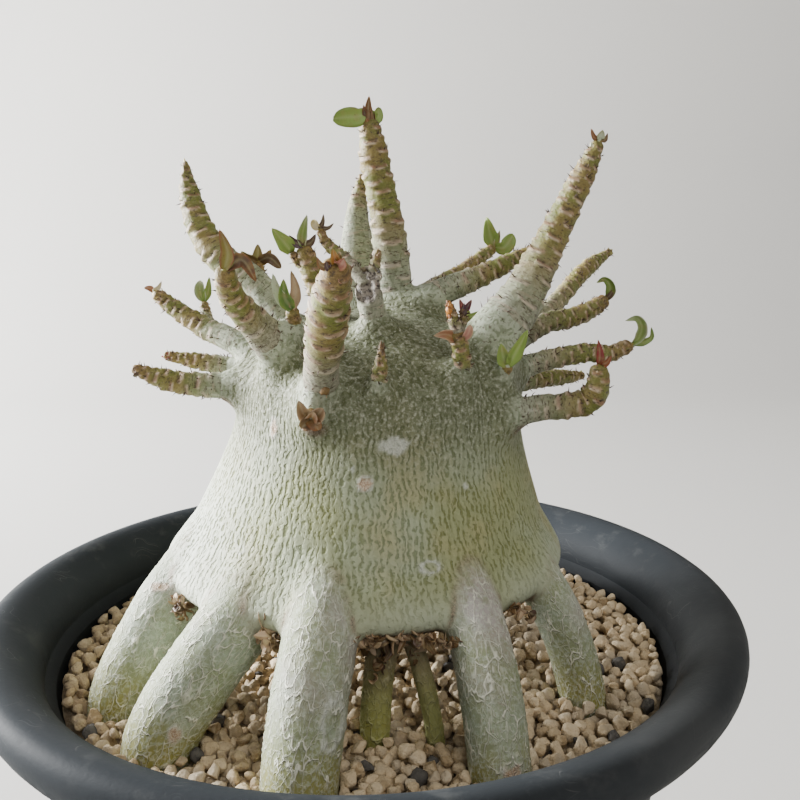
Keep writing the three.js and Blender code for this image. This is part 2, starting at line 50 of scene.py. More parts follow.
SENSOR_MM = 36.0
LENS_MM = 42.75
CAMERA_PLACE = (0.0, -0.2701, 0.2631)
CAMERA_HEADING, CAMERA_DIP, CAMERA_ROLL = -2.375, 11.76, -0.386


def make_camera():
    data = bpy.data.cameras.new("camera")
    data.sensor_width = SENSOR_MM
    data.lens = LENS_MM
    camera = bpy.data.objects.new("camera", data)
    bpy.context.scene.collection.objects.link(camera)
    turn = (Matrix.Rotation(math.radians(CAMERA_HEADING), 4, "Z")
            @ Matrix.Rotation(math.radians(90.0 - CAMERA_DIP), 4, "X")
            @ Matrix.Rotation(math.radians(CAMERA_ROLL), 4, "Z"))
    camera.matrix_world = Matrix.Translation(CAMERA_PLACE) @ turn
    bpy.context.scene.camera = camera


make_camera()


# Curves, noise and meshes

def spline(points, step):
    """Points about a step apart on the smooth curve through points, and how far along each one is."""
    p = np.array(points, float)
    ends = np.vstack([2 * p[0] - p[1], p, 2 * p[-1] - p[-2]])
    runs = []
    for i in range(len(p) - 1):
        a, b, c, d = ends[i:i + 4]
        d0, d1, d2 = (max(np.linalg.norm(v), 1e-6) ** 0.5 for v in (b - a, c - b, d - c))
        m1 = ((b - a) / d0 - (c - a) / (d0 + d1) + (c - b) / d1) * d1
        m2 = ((c - b) / d1 - (d - b) / (d1 + d2) + (d - c) / d2) * d1
        t = np.linspace(0, 1, 24, endpoint=False)[:, None]
        runs.append(b * (2 * t ** 3 - 3 * t ** 2 + 1) + m1 * (t ** 3 - 2 * t ** 2 + t)
                    + c * (-2 * t ** 3 + 3 * t ** 2) + m2 * (t ** 3 - t ** 2))
    dense = np.vstack(runs + [p[-1:]])
    far = np.concatenate([[0], np.cumsum(np.linalg.norm(np.diff(dense, axis=0), axis=1))])
    count = max(3, int(round(far[-1] / step)) + 1)
    at = np.linspace(0, far[-1], count)
    return np.stack([np.interp(at, far, dense[:, k]) for k in range(3)], 1), at


def spread(values, fraction):
    """Values of an evenly spaced list at fractions from 0 to 1."""
    return np.interp(fraction, np.linspace(0, 1, len(values)), values)


def unit(vectors):
    """A vector, or each row of an array of them, at a length of one."""
    return vectors / np.linalg.norm(vectors, axis=-1, keepdims=True)


def axes_across(way, hint=(0.3, 0.2, 0.9)):
    """Two directions square to way and to each other."""
    across = unit(np.cross(way, hint))
    return across, np.cross(way, across)


def sleeve(rings, count):
    """Faces of a tube of rings, whose two last points close its end and its start."""
    faces = []
    last, tip = (rings - 1) * count, rings * count
    for j in range(count):
        k = (j + 1) % count
        for low in range(0, last, count):
            faces.append((low + j, low + k, low + count + k, low + count + j))
        faces += [(last + j, last + k, tip), (k, j, tip + 1)]
    return faces


def frames(line):
    """Heading and two side vectors that turn as little as they can along a line."""
    heading = unit(np.gradient(line, axis=0))
    out = np.zeros_like(line)
    across = np.array([0.3, 1.0, 0.2])
    for i, h in enumerate(heading):
        across = unit(across - h * (across @ h))
        out[i] = across
    return heading, out, np.cross(out, heading)


SHUFFLE = np.tile(rng.permutation(256), 2)
SLOPES = unit(rng.normal(size=(256, 3)))


def noise(p, seed=0):
    """Smooth random field from about -1 to 1 at points p."""
    base = np.floor(p).astype(np.int64)
    f = p - base
    u = f * f * f * (f * (f * 6 - 15) + 10)
    total = np.zeros(len(p))
    for dx in (0, 1):
        for dy in (0, 1):
            for dz in (0, 1):
                h = SHUFFLE[(base[:, 0] + dx + seed) & 255]
                h = SHUFFLE[(h + base[:, 1] + dy) & 255]
                h = SHUFFLE[(h + base[:, 2] + dz) & 255]
                w = np.where(dx, u[:, 0], 1 - u[:, 0]) * np.where(dy, u[:, 1], 1 - u[:, 1])
                w = w * np.where(dz, u[:, 2], 1 - u[:, 2])
                total += w * ((f - (dx, dy, dz)) * SLOPES[h]).sum(1)
    return total * 1.6


def smooth(x, low, high):
    """Soft step from 0 at low to 1 at high."""
    t = np.clip((x - low) / (high - low), 0, 1)
    return t * t * (3 - 2 * t)


def make_piece(name, points, faces, slot, material, replaced=(), fields=None, normals=None):
    """A mesh piece from millimetre points, riding on the root body."""
    mesh = bpy.data.meshes.new(name)
    mesh.from_pydata((np.asarray(points) * MM).tolist(), [], [list(map(int, f)) for f in faces])
    for field, values in (fields or {}).items():
        values = np.asarray(values, np.float32)
        if values.ndim == 1:
            mesh.attributes.new(field, "FLOAT", "POINT").data.foreach_set("value", values)
        else:
            data = mesh.attributes.new(field, "FLOAT_VECTOR", "POINT").data
            data.foreach_set("vector", values.ravel())
    mesh.polygons.foreach_set("use_smooth", np.ones(len(mesh.polygons), bool))
    mesh.materials.append(material)
    if normals is not None:
        mesh.normals_split_custom_set_from_vertices(normals.tolist())
    mesh.update()
    piece = bpy.data.objects.new(name, mesh)
    bpy.context.scene.collection.objects.link(piece)
    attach(piece, "root")
    if replaced:
        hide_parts(*replaced)
    return piece


class Batch:
    """Several small shapes gathered into one mesh, with values for their points."""

    def __init__(self):
        self.points, self.faces, self.fields, self.count = [], [], {}, 0

    def add(self, points, faces, **fields):
        self.points.append(np.asarray(points, float))
        self.faces.extend([tuple(i + self.count for i in f) for f in faces])
        for key, values in fields.items():
            self.fields.setdefault(key, []).append(np.asarray(values, float))
        self.count += len(points)

    def piece(self, name, slot, material, replaced=()):
        fields = {key: np.concatenate(parts) for key, parts in self.fields.items()}
        return make_piece(name, np.vstack(self.points), self.faces, slot, material, replaced, fields)



# Node graphs

class Graph:
    """Short names for building a node tree."""

    def __init__(self, tree):
        self.tree = tree

    def node(self, kind, inputs=None, **settings):
        made = self.tree.nodes.new(kind)
        for key, value in settings.items():
            setattr(made, key, value)
        for key, value in (inputs or {}).items():
            self.put(made.inputs[key], value)
        return made

    def put(self, socket, value):
        if isinstance(value, bpy.types.NodeSocket):
            self.tree.links.new(value, socket)
        elif value is not None:
            if isinstance(value, (tuple, list)) and len(value) == 3 and len(socket.default_value) == 4:
                value = (*value, 1.0)
            socket.default_value = value

    def math(self, operation, a, b=None, c=None, clamp=False):
        made = self.node("ShaderNodeMath", operation=operation, use_clamp=clamp)
        for socket, value in zip(made.inputs, (a, b, c)):
            self.put(socket, value)
        return made.outputs[0]

    def times(self, a, b):
        return self.math("MULTIPLY", a, b)

    def plus(self, a, b):
        return self.math("ADD", a, b)

    def less(self, a, b):
        return self.math("SUBTRACT", a, b)

    def larger(self, a, b):
        return self.math("MAXIMUM", a, b)

    def rest(self, a):
        return self.math("SUBTRACT", 1.0, a)

    def length(self, a):
        return self.node("ShaderNodeVectorMath", {0: a}, operation="LENGTH").outputs["Value"]

    def split(self, vector):
        return tuple(self.node("ShaderNodeSeparateXYZ", {"Vector": vector}).outputs)

    def vector(self, operation, a, b=None):
        made = self.node("ShaderNodeVectorMath", operation=operation)
        for socket, value in zip(made.inputs, (a, b)):
            self.put(socket, value)
        return made.outputs["Vector"]

    def stretch(self, a, b):
        return self.vector("MULTIPLY", a, b)

    def noise(self, vector, scale, detail=2.0, rough=0.5, distortion=0.0, colour=False):
        made = self.node("ShaderNodeTexNoise", {"Vector": vector, "Scale": scale, "Detail": detail,
                                               "Roughness": rough, "Distortion": distortion})
        return made.outputs["Color" if colour else "Fac"]

    def cells(self, vector, scale, feature="F1", output="Distance", random=1.0):
        made = self.node("ShaderNodeTexVoronoi", feature=feature)
        for key, value in (("Vector", vector), ("Scale", scale), ("Randomness", random)):
            self.put(made.inputs[key], value)
        return made.outputs[output]

    def step(self, value, low, high, to_low=0.0, to_high=1.0):
        made = self.node("ShaderNodeMapRange", {"Value": value, "From Min": low, "From Max": high,
                                                "To Min": to_low, "To Max": to_high},
                         interpolation_type="SMOOTHSTEP")
        return made.outputs["Result"]

    def mix(self, factor, a, b, blend="MIX"):
        made = self.node("ShaderNodeMix", data_type="RGBA", blend_type=blend)
        self.put(made.inputs["Factor"], factor)
        self.put(made.inputs["A"], a)
        self.put(made.inputs["B"], b)
        return made.outputs["Result"]

    def field(self, name, kind="Fac"):
        return self.node("ShaderNodeAttribute", attribute_name=name).outputs[kind]


def new_material(name):
    material = bpy.data.materials.new(name)
    material.use_nodes = True
    tree = material.node_tree
    tree.nodes.clear()
    graph = Graph(tree)
    shader = graph.node("ShaderNodeBsdfPrincipled")
    output = graph.node("ShaderNodeOutputMaterial")
    tree.links.new(shader.outputs["BSDF"], output.inputs["Surface"])
    return material, graph, shader


def millimetres(graph):
    """The place on a piece, in millimetres of the CAD model."""
    place = graph.node("ShaderNodeTexCoord").outputs["Object"]
    return graph.stretch(place, (1000.0, 1000.0, 1000.0))


def bump(graph, height, strength, distance_mm, onto=None):
    inputs = {"Height": height, "Strength": strength, "Distance": distance_mm * MM, "Normal": onto}
    return graph.node("ShaderNodeBump", inputs).outputs["Normal"]


RIDGE_LINES = 178.0
RIDGE_AXIS = (3.0, -4.0)


def bark_ridges(g, place):
    """Wavy upright ridges of the trunk's bark, 0 in a groove and 1 on a ridge, with curls on the crown.

    The same nodes move the mesh and tint it."""
    x, y, z = g.split(place)
    warp, _, _ = g.split(g.noise(place, 0.21, 2.0, colour=True))
    small = g.noise(place, 1.0, 1.0)
    turn = g.math("ARCTAN2", g.less(x, RIDGE_AXIS[0]), g.less(RIDGE_AXIS[1], y))
    wander = g.plus(g.times(warp, 17.0), g.times(small, 6.0))
    line = g.step(g.math("SINE", g.plus(g.times(turn, RIDGE_LINES), wander)), -0.85, 0.55)
    broken = g.step(g.noise(g.stretch(place, (1.0, 1.0, 0.60)), 0.9, 1.0), 0.42, 0.58)
    upright = g.larger(line, g.times(broken, 0.80))
    skirt = g.step(z, 160.0, 176.0, 0.5, 0.0)
    upright = g.plus(upright, g.times(g.rest(upright), skirt))
    curls = g.plus(g.times(g.noise(place, 0.28, 1.0), 24.0), g.times(small, 6.0))
    curly = g.larger(g.step(g.math("SINE", curls), -0.85, 0.45), g.times(broken, 0.6))
    crown = g.step(z, 205.0, 222.0)
    return g.plus(g.times(upright, g.rest(crown)), g.times(curly, crown))


def root_net(g, grain):
    """Raised net of the roots, 1 on its lines, in coordinates stretched along each root."""
    warp = g.vector("SUBTRACT", g.noise(grain, 0.40, 2.0, colour=True), (0.5, 0.5, 0.5))
    grain = g.vector("ADD", grain, g.stretch(warp, (2.6, 2.6, 2.6)))
    line = g.step(g.cells(grain, 0.33, "DISTANCE_TO_EDGE"), 0.008, 0.060, 1.0, 0.0)
    fine = g.step(g.cells(grain, 0.75, "DISTANCE_TO_EDGE"), 0.01, 0.08, 1.0, 0.0)
    broken = g.step(g.noise(grain, 0.30, 1.0), 0.38, 0.56)
    return g.larger(g.times(line, broken), g.times(fine, 0.35))


def make_skin_material():
    """Grey green bark with pale ridges, painted paler on its left side where the light falls, dark olive on
    the crown with painted shade from the stems above, and paler netted roots. Painted shade darkens the
    trunk's underside and its creases with the roots.
    """
    material, g, shader = new_material("caudex_bark")
    place = millimetres(g)
    ridges = bark_ridges(g, place)
    grain = g.field("grain", "Vector")
    net = root_net(g, grain)
    root, stem, crease_shade, under = (g.field(name) for name in ("root", "stem", "crease_shade", "under"))
    across, _, height = g.split(place)

    patch = g.noise(place, 0.030, 3.0)
    patch_b = g.noise(g.vector("ADD", place, (40.0, 7.0, 90.0)), 0.05, 3.0)
    fine = g.noise(place, 1.1, 3.0, 0.6)
    speck = g.noise(place, 3.2, 2.0, 0.6)
    # The crown, painted dark as olive bark and as shade from the stems above.
    high = g.step(height, 186.0, 214.0)

    groove = g.mix(g.step(patch, 0.42, 0.6), (0.175, 0.210, 0.110), (0.150, 0.165, 0.050))
    ridge = g.mix(g.step(patch, 0.42, 0.64), (0.375, 0.415, 0.28), (0.31, 0.335, 0.175))
    ridge = g.mix(g.times(g.step(patch_b, 0.5, 0.66), 0.5), ridge, (0.40, 0.35, 0.16))
    # Painted light: the trunk's left side, which faces the lamp, is painted paler.
    painted_left_light = g.step(across, -52.0, -20.0, 1.0, 0.0)
    ridge = g.mix(g.times(painted_left_light, 0.85), ridge, (0.64, 0.68, 0.60))
    # Painted shade and real colour: the crown is dark olive, darkened further as shade from the stems
    # above.
    ridge = g.mix(g.times(high, 0.85), ridge, (0.095, 0.107, 0.054))
    groove = g.mix(high, groove, (0.07, 0.08, 0.03))
    trunk = g.mix(g.plus(g.times(ridges, 0.72), g.times(fine, 0.30)), groove, ridge)
    fleck = g.times(g.step(speck, 0.54, 0.70), g.plus(g.times(high, 0.08), 0.14))
    fleck = g.larger(fleck, g.times(g.times(high, ridges), g.step(fine, 0.45, 0.72, 0.0, 0.6)))
    trunk = g.mix(fleck, trunk, (0.52, 0.53, 0.43))
    skirt = g.step(height, 161.0, 174.0, 1.0, 0.0)
    trunk = g.mix(g.times(skirt, 0.5), trunk, (0.47, 0.50, 0.39))

    low = g.step(height, 131.0, 150.0, 1.0, 0.0)
    ground = g.mix(g.step(patch_b, 0.42, 0.6), (0.29, 0.34, 0.245), (0.235, 0.27, 0.145))
    ground = g.mix(g.times(low, g.step(patch_b, 0.30, 0.55)), ground, (0.24, 0.225, 0.055))
    mauve = g.times(g.step(height, 146.0, 160.0), g.step(patch, 0.44, 0.60))
    ground = g.mix(g.times(mauve, 0.5), ground, (0.45, 0.34, 0.385))
    ground = g.mix(g.step(fine, 0.46, 0.62, 0.0, 0.55), ground, (0.47, 0.51, 0.42))
    blot = g.step(g.noise(place, 0.33, 4.0, 0.65), 0.50, 0.66)
    ground = g.mix(g.times(blot, 0.6), ground, (0.20, 0.225, 0.12))
    roots = g.mix(g.times(net, 0.85), ground, (0.74, 0.735, 0.61))
    pit = g.step(g.noise(place, 0.55, 3.0, 0.6), 0.66, 0.72)
    roots = g.mix(g.times(pit, 0.5), roots, (0.22, 0.17, 0.11))

    dark = g.step(g.noise(g.stretch(place, (1.0, 1.0, 1.6)), 0.95, 2.0, 0.6), 0.60, 0.66)
    stems = g.mix(g.plus(g.times(ridges, 0.6), g.times(fine, 0.4)),
                  (0.155, 0.185, 0.105), (0.40, 0.435, 0.33))
    stems = g.mix(g.times(dark, 0.8), stems, (0.08, 0.055, 0.04))

    shoot = g.mix(g.step(height, 138.0, 156.0), (0.30, 0.31, 0.085), (0.26, 0.20, 0.10))
    roots = g.mix(g.times(g.field("fresh"), 0.8), roots, shoot)
    colour = g.mix(root, trunk, roots)
    colour = g.mix(stem, colour, stems)
    grey = g.mix(g.step(speck, 0.4, 0.6), (0.50, 0.53, 0.47), (0.68, 0.69, 0.63))
    colour = g.mix(g.times(g.field("pale"), 0.6), colour, grey)
    colour = g.mix(g.times(g.field("tan"), 0.85), colour,
                   g.mix(g.step(speck, 0.38, 0.6), (0.34, 0.20, 0.12), (0.62, 0.50, 0.38)))
    # Painted shade: the trunk's downward-facing underside is painted dark brown, shade under the overhang
    # flecked with paler papery skin.
    papery_skin_and_shade = g.mix(g.step(speck, 0.4, 0.6), (0.045, 0.03, 0.022), (0.24, 0.17, 0.12))
    colour = g.mix(under, colour, papery_skin_and_shade)
    # Painted shade: a dark line along the crease where roots meet the trunk.
    line = g.times(crease_shade, g.step(g.noise(place, 0.22, 3.0), 0.42, 0.62, 0.10, 0.85))
    colour = g.mix(line, colour, g.mix(g.step(speck, 0.4, 0.6), (0.09, 0.06, 0.04), (0.30, 0.22, 0.15)))
    g.put(shader.inputs["Base Color"], colour)
    g.put(shader.inputs["Roughness"], g.less(0.80, g.times(ridges, 0.16)))
    shader.inputs["Specular IOR Level"].default_value = 0.38

    relief = g.times(g.rest(root), ridges)
    relief = g.times(g.rest(g.times(stem, 0.6)), relief)
    relief = g.plus(relief, g.times(root, g.times(net, 1.2)))
    normal = bump(g, relief, 0.85, 0.34)
    g.put(shader.inputs["Normal"], bump(g, fine, 0.30, 0.4, normal))
    return material


RIDGE_LIFT = 0.15
NET_LIFT = 0.22


def make_relief_group():
    """Geometry nodes that push the caudex's skin out along its ridges and its roots' net."""
    tree = bpy.data.node_groups.new("bark_relief", "GeometryNodeTree")
    tree.interface.new_socket("Geometry", in_out="INPUT", socket_type="NodeSocketGeometry")
    tree.interface.new_socket("Geometry", in_out="OUTPUT", socket_type="NodeSocketGeometry")
    g = Graph(tree)
    source = g.node("NodeGroupInput")
    result = g.node("NodeGroupOutput")
    place = g.stretch(g.node("GeometryNodeInputPosition").outputs[0], (1000.0,) * 3)

    def field(name, kind):
        made = g.node("GeometryNodeInputNamedAttribute", data_type=kind)
        made.inputs["Name"].default_value = name
        return made.outputs["Attribute"]

    root = field("root", "FLOAT")
    stem = field("stem", "FLOAT")
    ridges = bark_ridges(g, place)
    net = root_net(g, field("grain", "FLOAT_VECTOR"))
    trunk_part = g.times(g.rest(root), g.rest(stem))
    lift = g.plus(g.times(g.times(ridges, trunk_part), RIDGE_LIFT),
                  g.times(g.times(net, root), NET_LIFT))
    lift = g.times(lift, MM)
    normal = g.node("GeometryNodeInputNormal").outputs[0]
    move = g.node("ShaderNodeVectorMath", {0: normal, "Scale": lift}, operation="SCALE")
    mover = g.node("GeometryNodeSetPosition")
    tree.links.new(source.outputs[0], mover.inputs["Geometry"])
    tree.links.new(move.outputs[0], mover.inputs["Offset"])
    tree.links.new(mover.outputs[0], result.inputs[0])
    return tree


# The plant's measures

TRUNK_CENTRE_Y = -4.0
TRUNK_PROFILE = [
    (0, 161), (34, 160), (49, 159.5), (55.5, 161.5), (56.8, 165), (54, 170), (50, 176), (46.6, 184),
    (43.5, 192), (41, 200), (39.8, 207), (39, 213), (35.5, 220), (28, 226), (15, 231.5), (0, 233.5),
]

ROOTS = [
    ([(-32, -11, 178), (-44, -17.5, 168), (-52, -22.5, 158), (-59, -27, 146.5), (-65.5, -31, 134),
      (-68, -33, 118), (-69, -34, 100)], [5.5, 7.6, 9, 9, 8.6, 7, 3]),
    ([(-18, -28, 177), (-27, -40, 168), (-33, -46.5, 159), (-40, -50, 150.5), (-50, -55, 135.5),
      (-54, -56, 119), (-54, -54, 102)], [5.5, 7.8, 9.4, 9.4, 9, 7, 3]),
    ([(-7, -34, 180), (-9, -48, 171), (-10.6, -58, 162), (-13.4, -67, 148.5), (-15.5, -74, 133),
      (-16, -75, 118), (-16, -74, 100)], [5.5, 7.4, 9, 9.2, 9, 7, 3]),
    ([(19, -31, 180), (24, -45, 171), (27, -54, 162), (29.7, -64, 148), (31, -70.5, 134),
      (31.5, -73, 118), (31, -73, 100)], [5, 6.2, 7.4, 7.5, 7.4, 6, 3]),
    ([(34, -17, 180), (42.5, -26, 169), (49, -31, 160), (54.6, -34.5, 147.5), (58, -36.5, 135),
      (60, -38, 118), (60.5, -38.5, 100)], [4.5, 5.6, 6.4, 6.3, 6.2, 5, 2.5]),
    ([(5, -46, 168), (4.5, -51, 158), (3, -52, 145), (2.2, -53, 135), (2, -53, 120)],
     [4.2, 4, 3.8, 3.8, 2.5]),
    ([(10.5, -48, 168), (11.6, -52, 158.5), (14.5, -54, 147), (16.8, -55, 135.5), (18, -56, 120)],
     [2.4, 2.4, 2.4, 2.3, 1.6]),
    ([(32, 18, 180), (41, 26, 166), (51, 36, 148), (57, 43, 134), (60, 46, 116), (61, 47, 100)],
     [5, 6.6, 7.6, 7.4, 6, 3]),
    ([(12, 34, 180), (14, 44, 167), (17, 56, 150), (19, 66, 134), (20, 69, 118), (20, 70, 100)],
     [5.5, 7.4, 8.6, 8.4, 7, 3]),
    ([(-18, 30, 180), (-24, 41, 166), (-32, 54, 148), (-37, 62, 134), (-40, 65, 116), (-41, 66, 100)],
     [5.5, 7.4, 8.8, 8.6, 7, 3]),
    ([(-34, 10, 180), (-44, 15, 166), (-54, 21, 148), (-60, 26, 134), (-63, 28, 116), (-64, 29, 100)],
     [5, 6.4, 7.2, 7, 6, 3]),
]

# Each stem: name, collar that belongs to the caudex, path, radii
STEMS = {
    "mid_tall": (15, [(12, 4, 221), (10, 5, 240), (8, 5, 258), (5, 5, 273), (3.5, 5, 284)],
                 [5.4, 5.3, 5.2, 5.2, 5, 4.5, 4.1, 4.3, 2.8]),
    "mid_pale": (14, [(0, 19, 222), (-0.5, 22, 245), (-0.5, 25, 259), (1, 28, 271)],
                 [5.8, 5.9, 5.7, 4.9, 3.2, 1]),
    "left_tall": (12, [(-14, 7, 221), (-22, 10, 229), (-31, 14, 240), (-42, 18, 248), (-48, 22, 257),
                       (-51, 25, 268), (-51.5, 25, 275)],
                  [4.8, 4.4, 4.2, 4.4, 4.6, 4.6, 4.3, 3.8, 2.9, 0.9]),
    "left_front": (15, [(-17, -20, 217), (-22, -27, 227), (-26, -31, 233), (-29.5, -35, 238),
                        (-31.5, -40, 243), (-31.5, -44, 247)], [6.2, 5.9, 5.2, 4.4, 3.6, 3.1, 2.5]),
    "left_side": (12, [(-26, -5, 218), (-34, -2, 224), (-44.5, 4, 228), (-54.5, 8, 234), (-58.5, 9, 237)],
                  [4.2, 3.9, 3.5, 3.1, 2.7, 2]),
    "left_low_front": (13, [(-24, -12, 213.5), (-34.5, -12, 214), (-44, -12, 214.5), (-53.5, -12, 216),
                            (-61.5, -12, 219)], [4.8, 4.3, 3.6, 3.2, 2.9, 1.4]),
    "left_low_back": (13, [(-25, 4, 214), (-37, 6, 216), (-45.5, 7, 217.5), (-57, 8, 219.5)],
                      [3.6, 3.2, 2.8, 2.4, 1.2]),
    "front": (12, [(-10, -32, 210), (-9.5, -45, 224), (-8.5, -52, 230), (-7, -62, 239.5), (-5.5, -69, 246),
                   (-5, -72, 249.5)], [6.2, 5, 4.3, 4.4, 4.7, 4.4, 3.2]),
    "front_brown": (7.6, [(-11.5, -37, 211.5), (-12, -47, 212.7)], [3, 2.7, 2.4]),
    "front_thin": (9.5, [(4, -37, 214.5), (4.3, -43, 219), (4.7, -44, 224), (5, -44.5, 229.5)],
                   [2.2, 2, 1.9, 0.5]),
    "cut": (14.5, [(7, -18, 219), (5.5, -21, 228), (3, -23, 236), (1.5, -24, 246.5)],
            [4.8, 4, 3.5, 3.4, 3.3]),
    "mid_left": (9, [(-8, -11, 226), (-10.5, -12, 237), (-13, -13, 246), (-14.5, -14, 250.5)],
                 [2.6, 2.5, 2.8, 3.1, 2.3]),
    "left_short": (10.5, [(-17, -22, 222), (-16.8, -26, 230), (-17, -30, 236)], [2.2, 1.9, 1.8]),
    "right_inner": (17, [(10, 0, 226), (17, 0, 233), (23, 2, 237.5), (32, 4, 241), (39.5, 6, 244),
                         (50, 9, 249)], [5, 4.7, 4.2, 3.7, 3.1, 2.6, 1.4]),
    "right_behind": (16, [(9, 10, 226), (16, 13, 234.5), (24, 17, 239), (30.5, 21, 242), (41, 27, 248.5)],
                     [3.6, 3.2, 2.6, 2.3, 2.1, 1.8]),
    "right_tall": (22, [(27, -14, 212), (33.5, -17, 221), (37.5, -16, 229), (43.5, -14, 237),
                        (49, -12, 247), (56, -11, 261), (61.5, -10, 272), (64, -10, 277.5)],
                   [9.5, 9, 8.2, 7, 5.8, 4.9, 4.2, 3.7, 3.2, 1.9]),
    "right_front": (9.5, [(24, -28, 215), (25.5, -34, 221), (25, -35.5, 227), (24, -36, 231)],
                    [2.6, 2.4, 2.3, 1.9]),
    "right_back": (21, [(26, 4, 212), (42, 12, 221), (57, 20, 229.5), (63, 26, 233.5), (70.5, 33, 240),
                        (77.5, 40, 244), (83, 45, 246.5)], [4.2, 3.8, 3.4, 3, 2.8, 2.7, 2.5, 1]),
    "right_side": (25, [(27, -2, 211), (40, 1, 220), (49.5, 3, 226), (55.5, 5, 228.5), (61.5, 8, 229),
                        (68.5, 11, 231), (73, 12.5, 233.5)], [5, 4.6, 4, 3.4, 3, 3, 2.8, 2.2]),
    "right_long": (20, [(26, -10, 208), (38, -10, 214), (47.5, -8, 218), (56.5, -7, 220), (64.5, -6, 221),
                        (71, -5, 220.5), (76, -5, 222.5)], [4.6, 4.2, 3.6, 3, 2.8, 2.6, 2]),
    "right_low": (17, [(28, 4, 203), (40, 10, 207), (48.5, 15, 208.5), (59, 22, 208.5), (71.5, 31, 207.5)],
                  [4, 3.4, 3, 2.7, 2.5, 1.4]),
    "right_hook": (20.5, [(24, -20, 201), (34, -25, 205.5), (39, -27, 208), (47, -28, 210), (54, -30, 211),
                          (59, -31, 212.5), (61, -32, 216.5), (61, -32, 220.5)],
                   [6.5, 6, 5, 4.2, 3.6, 3.4, 3.5, 3.5, 2.4]),
    "right_leafy": (13, [(30, -19, 212), (36, -27, 218), (37.5, -29.5, 221)], [3, 2.6, 1.8]),
    "back_left": (20, [(-10, 12, 208), (-20, 30, 216), (-25, 44, 222), (-27, 56, 227)],
                  [5, 4.4, 3.4, 2.8, 1.6]),
    "back_mid": (21, [(-2, 14, 209), (-5, 34, 217), (-7, 52, 221), (-8, 65, 226)], [5, 4.2, 3.4, 2.8, 2]),
    "back_right": (21, [(10, 14, 209), (11, 34, 216), (13, 54, 222), (14, 68, 226.5)],
                   [5, 4.2, 3.2, 2.8, 1.4]),
    "back_far_right": (20, [(18, 12, 208), (26, 28, 215), (32, 44, 220), (36, 54, 223)],
                       [4.6, 4, 3.2, 2.6, 2]),
    "back_low": (26, [(4, 14, 198), (5, 34, 203), (6, 50, 209), (6, 58, 216)], [4.6, 4.2, 3.4, 2.8, 1.4]),
}


# Caudex: one skin over trunk, roots and collars

TABLE_PITCH = 0.4
TABLE_RADIUS = 90
TABLE_LOW, TABLE_HIGH = 100, 262
# The trunk leans to the right: 1 mm at this height, 1 mm more for each 9 mm above it, at most 5 mm
LEAN_HEIGHT, LEAN_RISE, LEAN_MOST = 170, 9, 5
ROOT_STEP, COLLAR_STEP = 4.0, 2.5


def profile_table():
    """Signed distance to the trunk's profile on a grid of radius and height."""
    line, _ = spline([(r, 0, z) for r, z in TRUNK_PROFILE], 1.0)
    line = line[:, [0, 2]]
    line[:, 0] = np.maximum(line[:, 0], 0)
    radius = np.arange(0, TABLE_RADIUS, TABLE_PITCH)
    height = np.arange(TABLE_LOW, TABLE_HIGH, TABLE_PITCH)
    q = np.stack(np.meshgrid(radius, height, indexing="ij"), -1).reshape(-1, 2)
    best = np.full(len(q), 1e9)
    inside = np.zeros(len(q), bool)
    for a, b in zip(line[:-1], line[1:]):
        ab = b - a
        t = np.clip(((q - a) @ ab) / (ab @ ab), 0, 1)
        best = np.minimum(best, np.hypot(*(q - a - t[:, None] * ab).T))
        crosses = (a[1] > q[:, 1]) != (b[1] > q[:, 1])
        side = a[0] + (q[:, 1] - a[1]) * ab[0] / (ab[1] if abs(ab[1]) > 1e-9 else 1e-9)
        inside ^= crosses & (q[:, 0] < side)
    return np.where(inside, -best, best).reshape(len(radius), len(height))


PROFILE = profile_table()


def trunk_distance(q):
    """Signed distance of points to the turned and slightly leaning trunk."""
    shift = np.clip(1 + (q[:, 2] - LEAN_HEIGHT) / LEAN_RISE, 0, LEAN_MOST)
    radius = np.hypot(q[:, 0] - shift, q[:, 1] - TRUNK_CENTRE_Y) / TABLE_PITCH
    height = (q[:, 2] - TABLE_LOW) / TABLE_PITCH
    i = np.clip(radius.astype(int), 0, PROFILE.shape[0] - 2)
    j = np.clip(height.astype(int), 0, PROFILE.shape[1] - 2)
    u, v = radius - i, height - j
    return ((PROFILE[i, j] * (1 - u) + PROFILE[i + 1, j] * u) * (1 - v)
            + (PROFILE[i, j + 1] * (1 - u) + PROFILE[i + 1, j + 1] * u) * v)


def rod_distance(q, line, radii):
    """Signed distance of points to a rod of changing radius along a line."""
    best = np.full(len(q), 1e9)
    for a, b, ra, rb in zip(line[:-1], line[1:], radii[:-1], radii[1:]):
        ab = b - a
        t = np.clip(((q - a) @ ab) / (ab @ ab), 0, 1)
        away = q - a - t[:, None] * ab
        best = np.minimum(best, np.sqrt((away * away).sum(1)) - (ra + (rb - ra) * t))
    return best


def blend(a, b, k):
    """The nearer of two distances, with a fillet of about k between them."""
    h = np.maximum(k - np.abs(a - b), 0) / k
    return np.minimum(a, b) - h * h * k * 0.25


def root_rods():
    """Line and radii of each root."""
    made = []
    for path, radii in ROOTS:
        line, at = spline(path, ROOT_STEP)
        made.append((line, spread(radii, at / at[-1])))
    return made


def collar_rods():
    """Line and radii of the stems' first part, which belongs to the caudex."""
    made = []
    for collar, path, radii in STEMS.values():
        line, at = spline(path, COLLAR_STEP)
        keep = at <= collar + 4
        size = spread(radii, at / at[-1]) - 0.9 * smooth(at, collar - 1, collar + 4)
        made.append((line[keep], size[keep]))
    return made


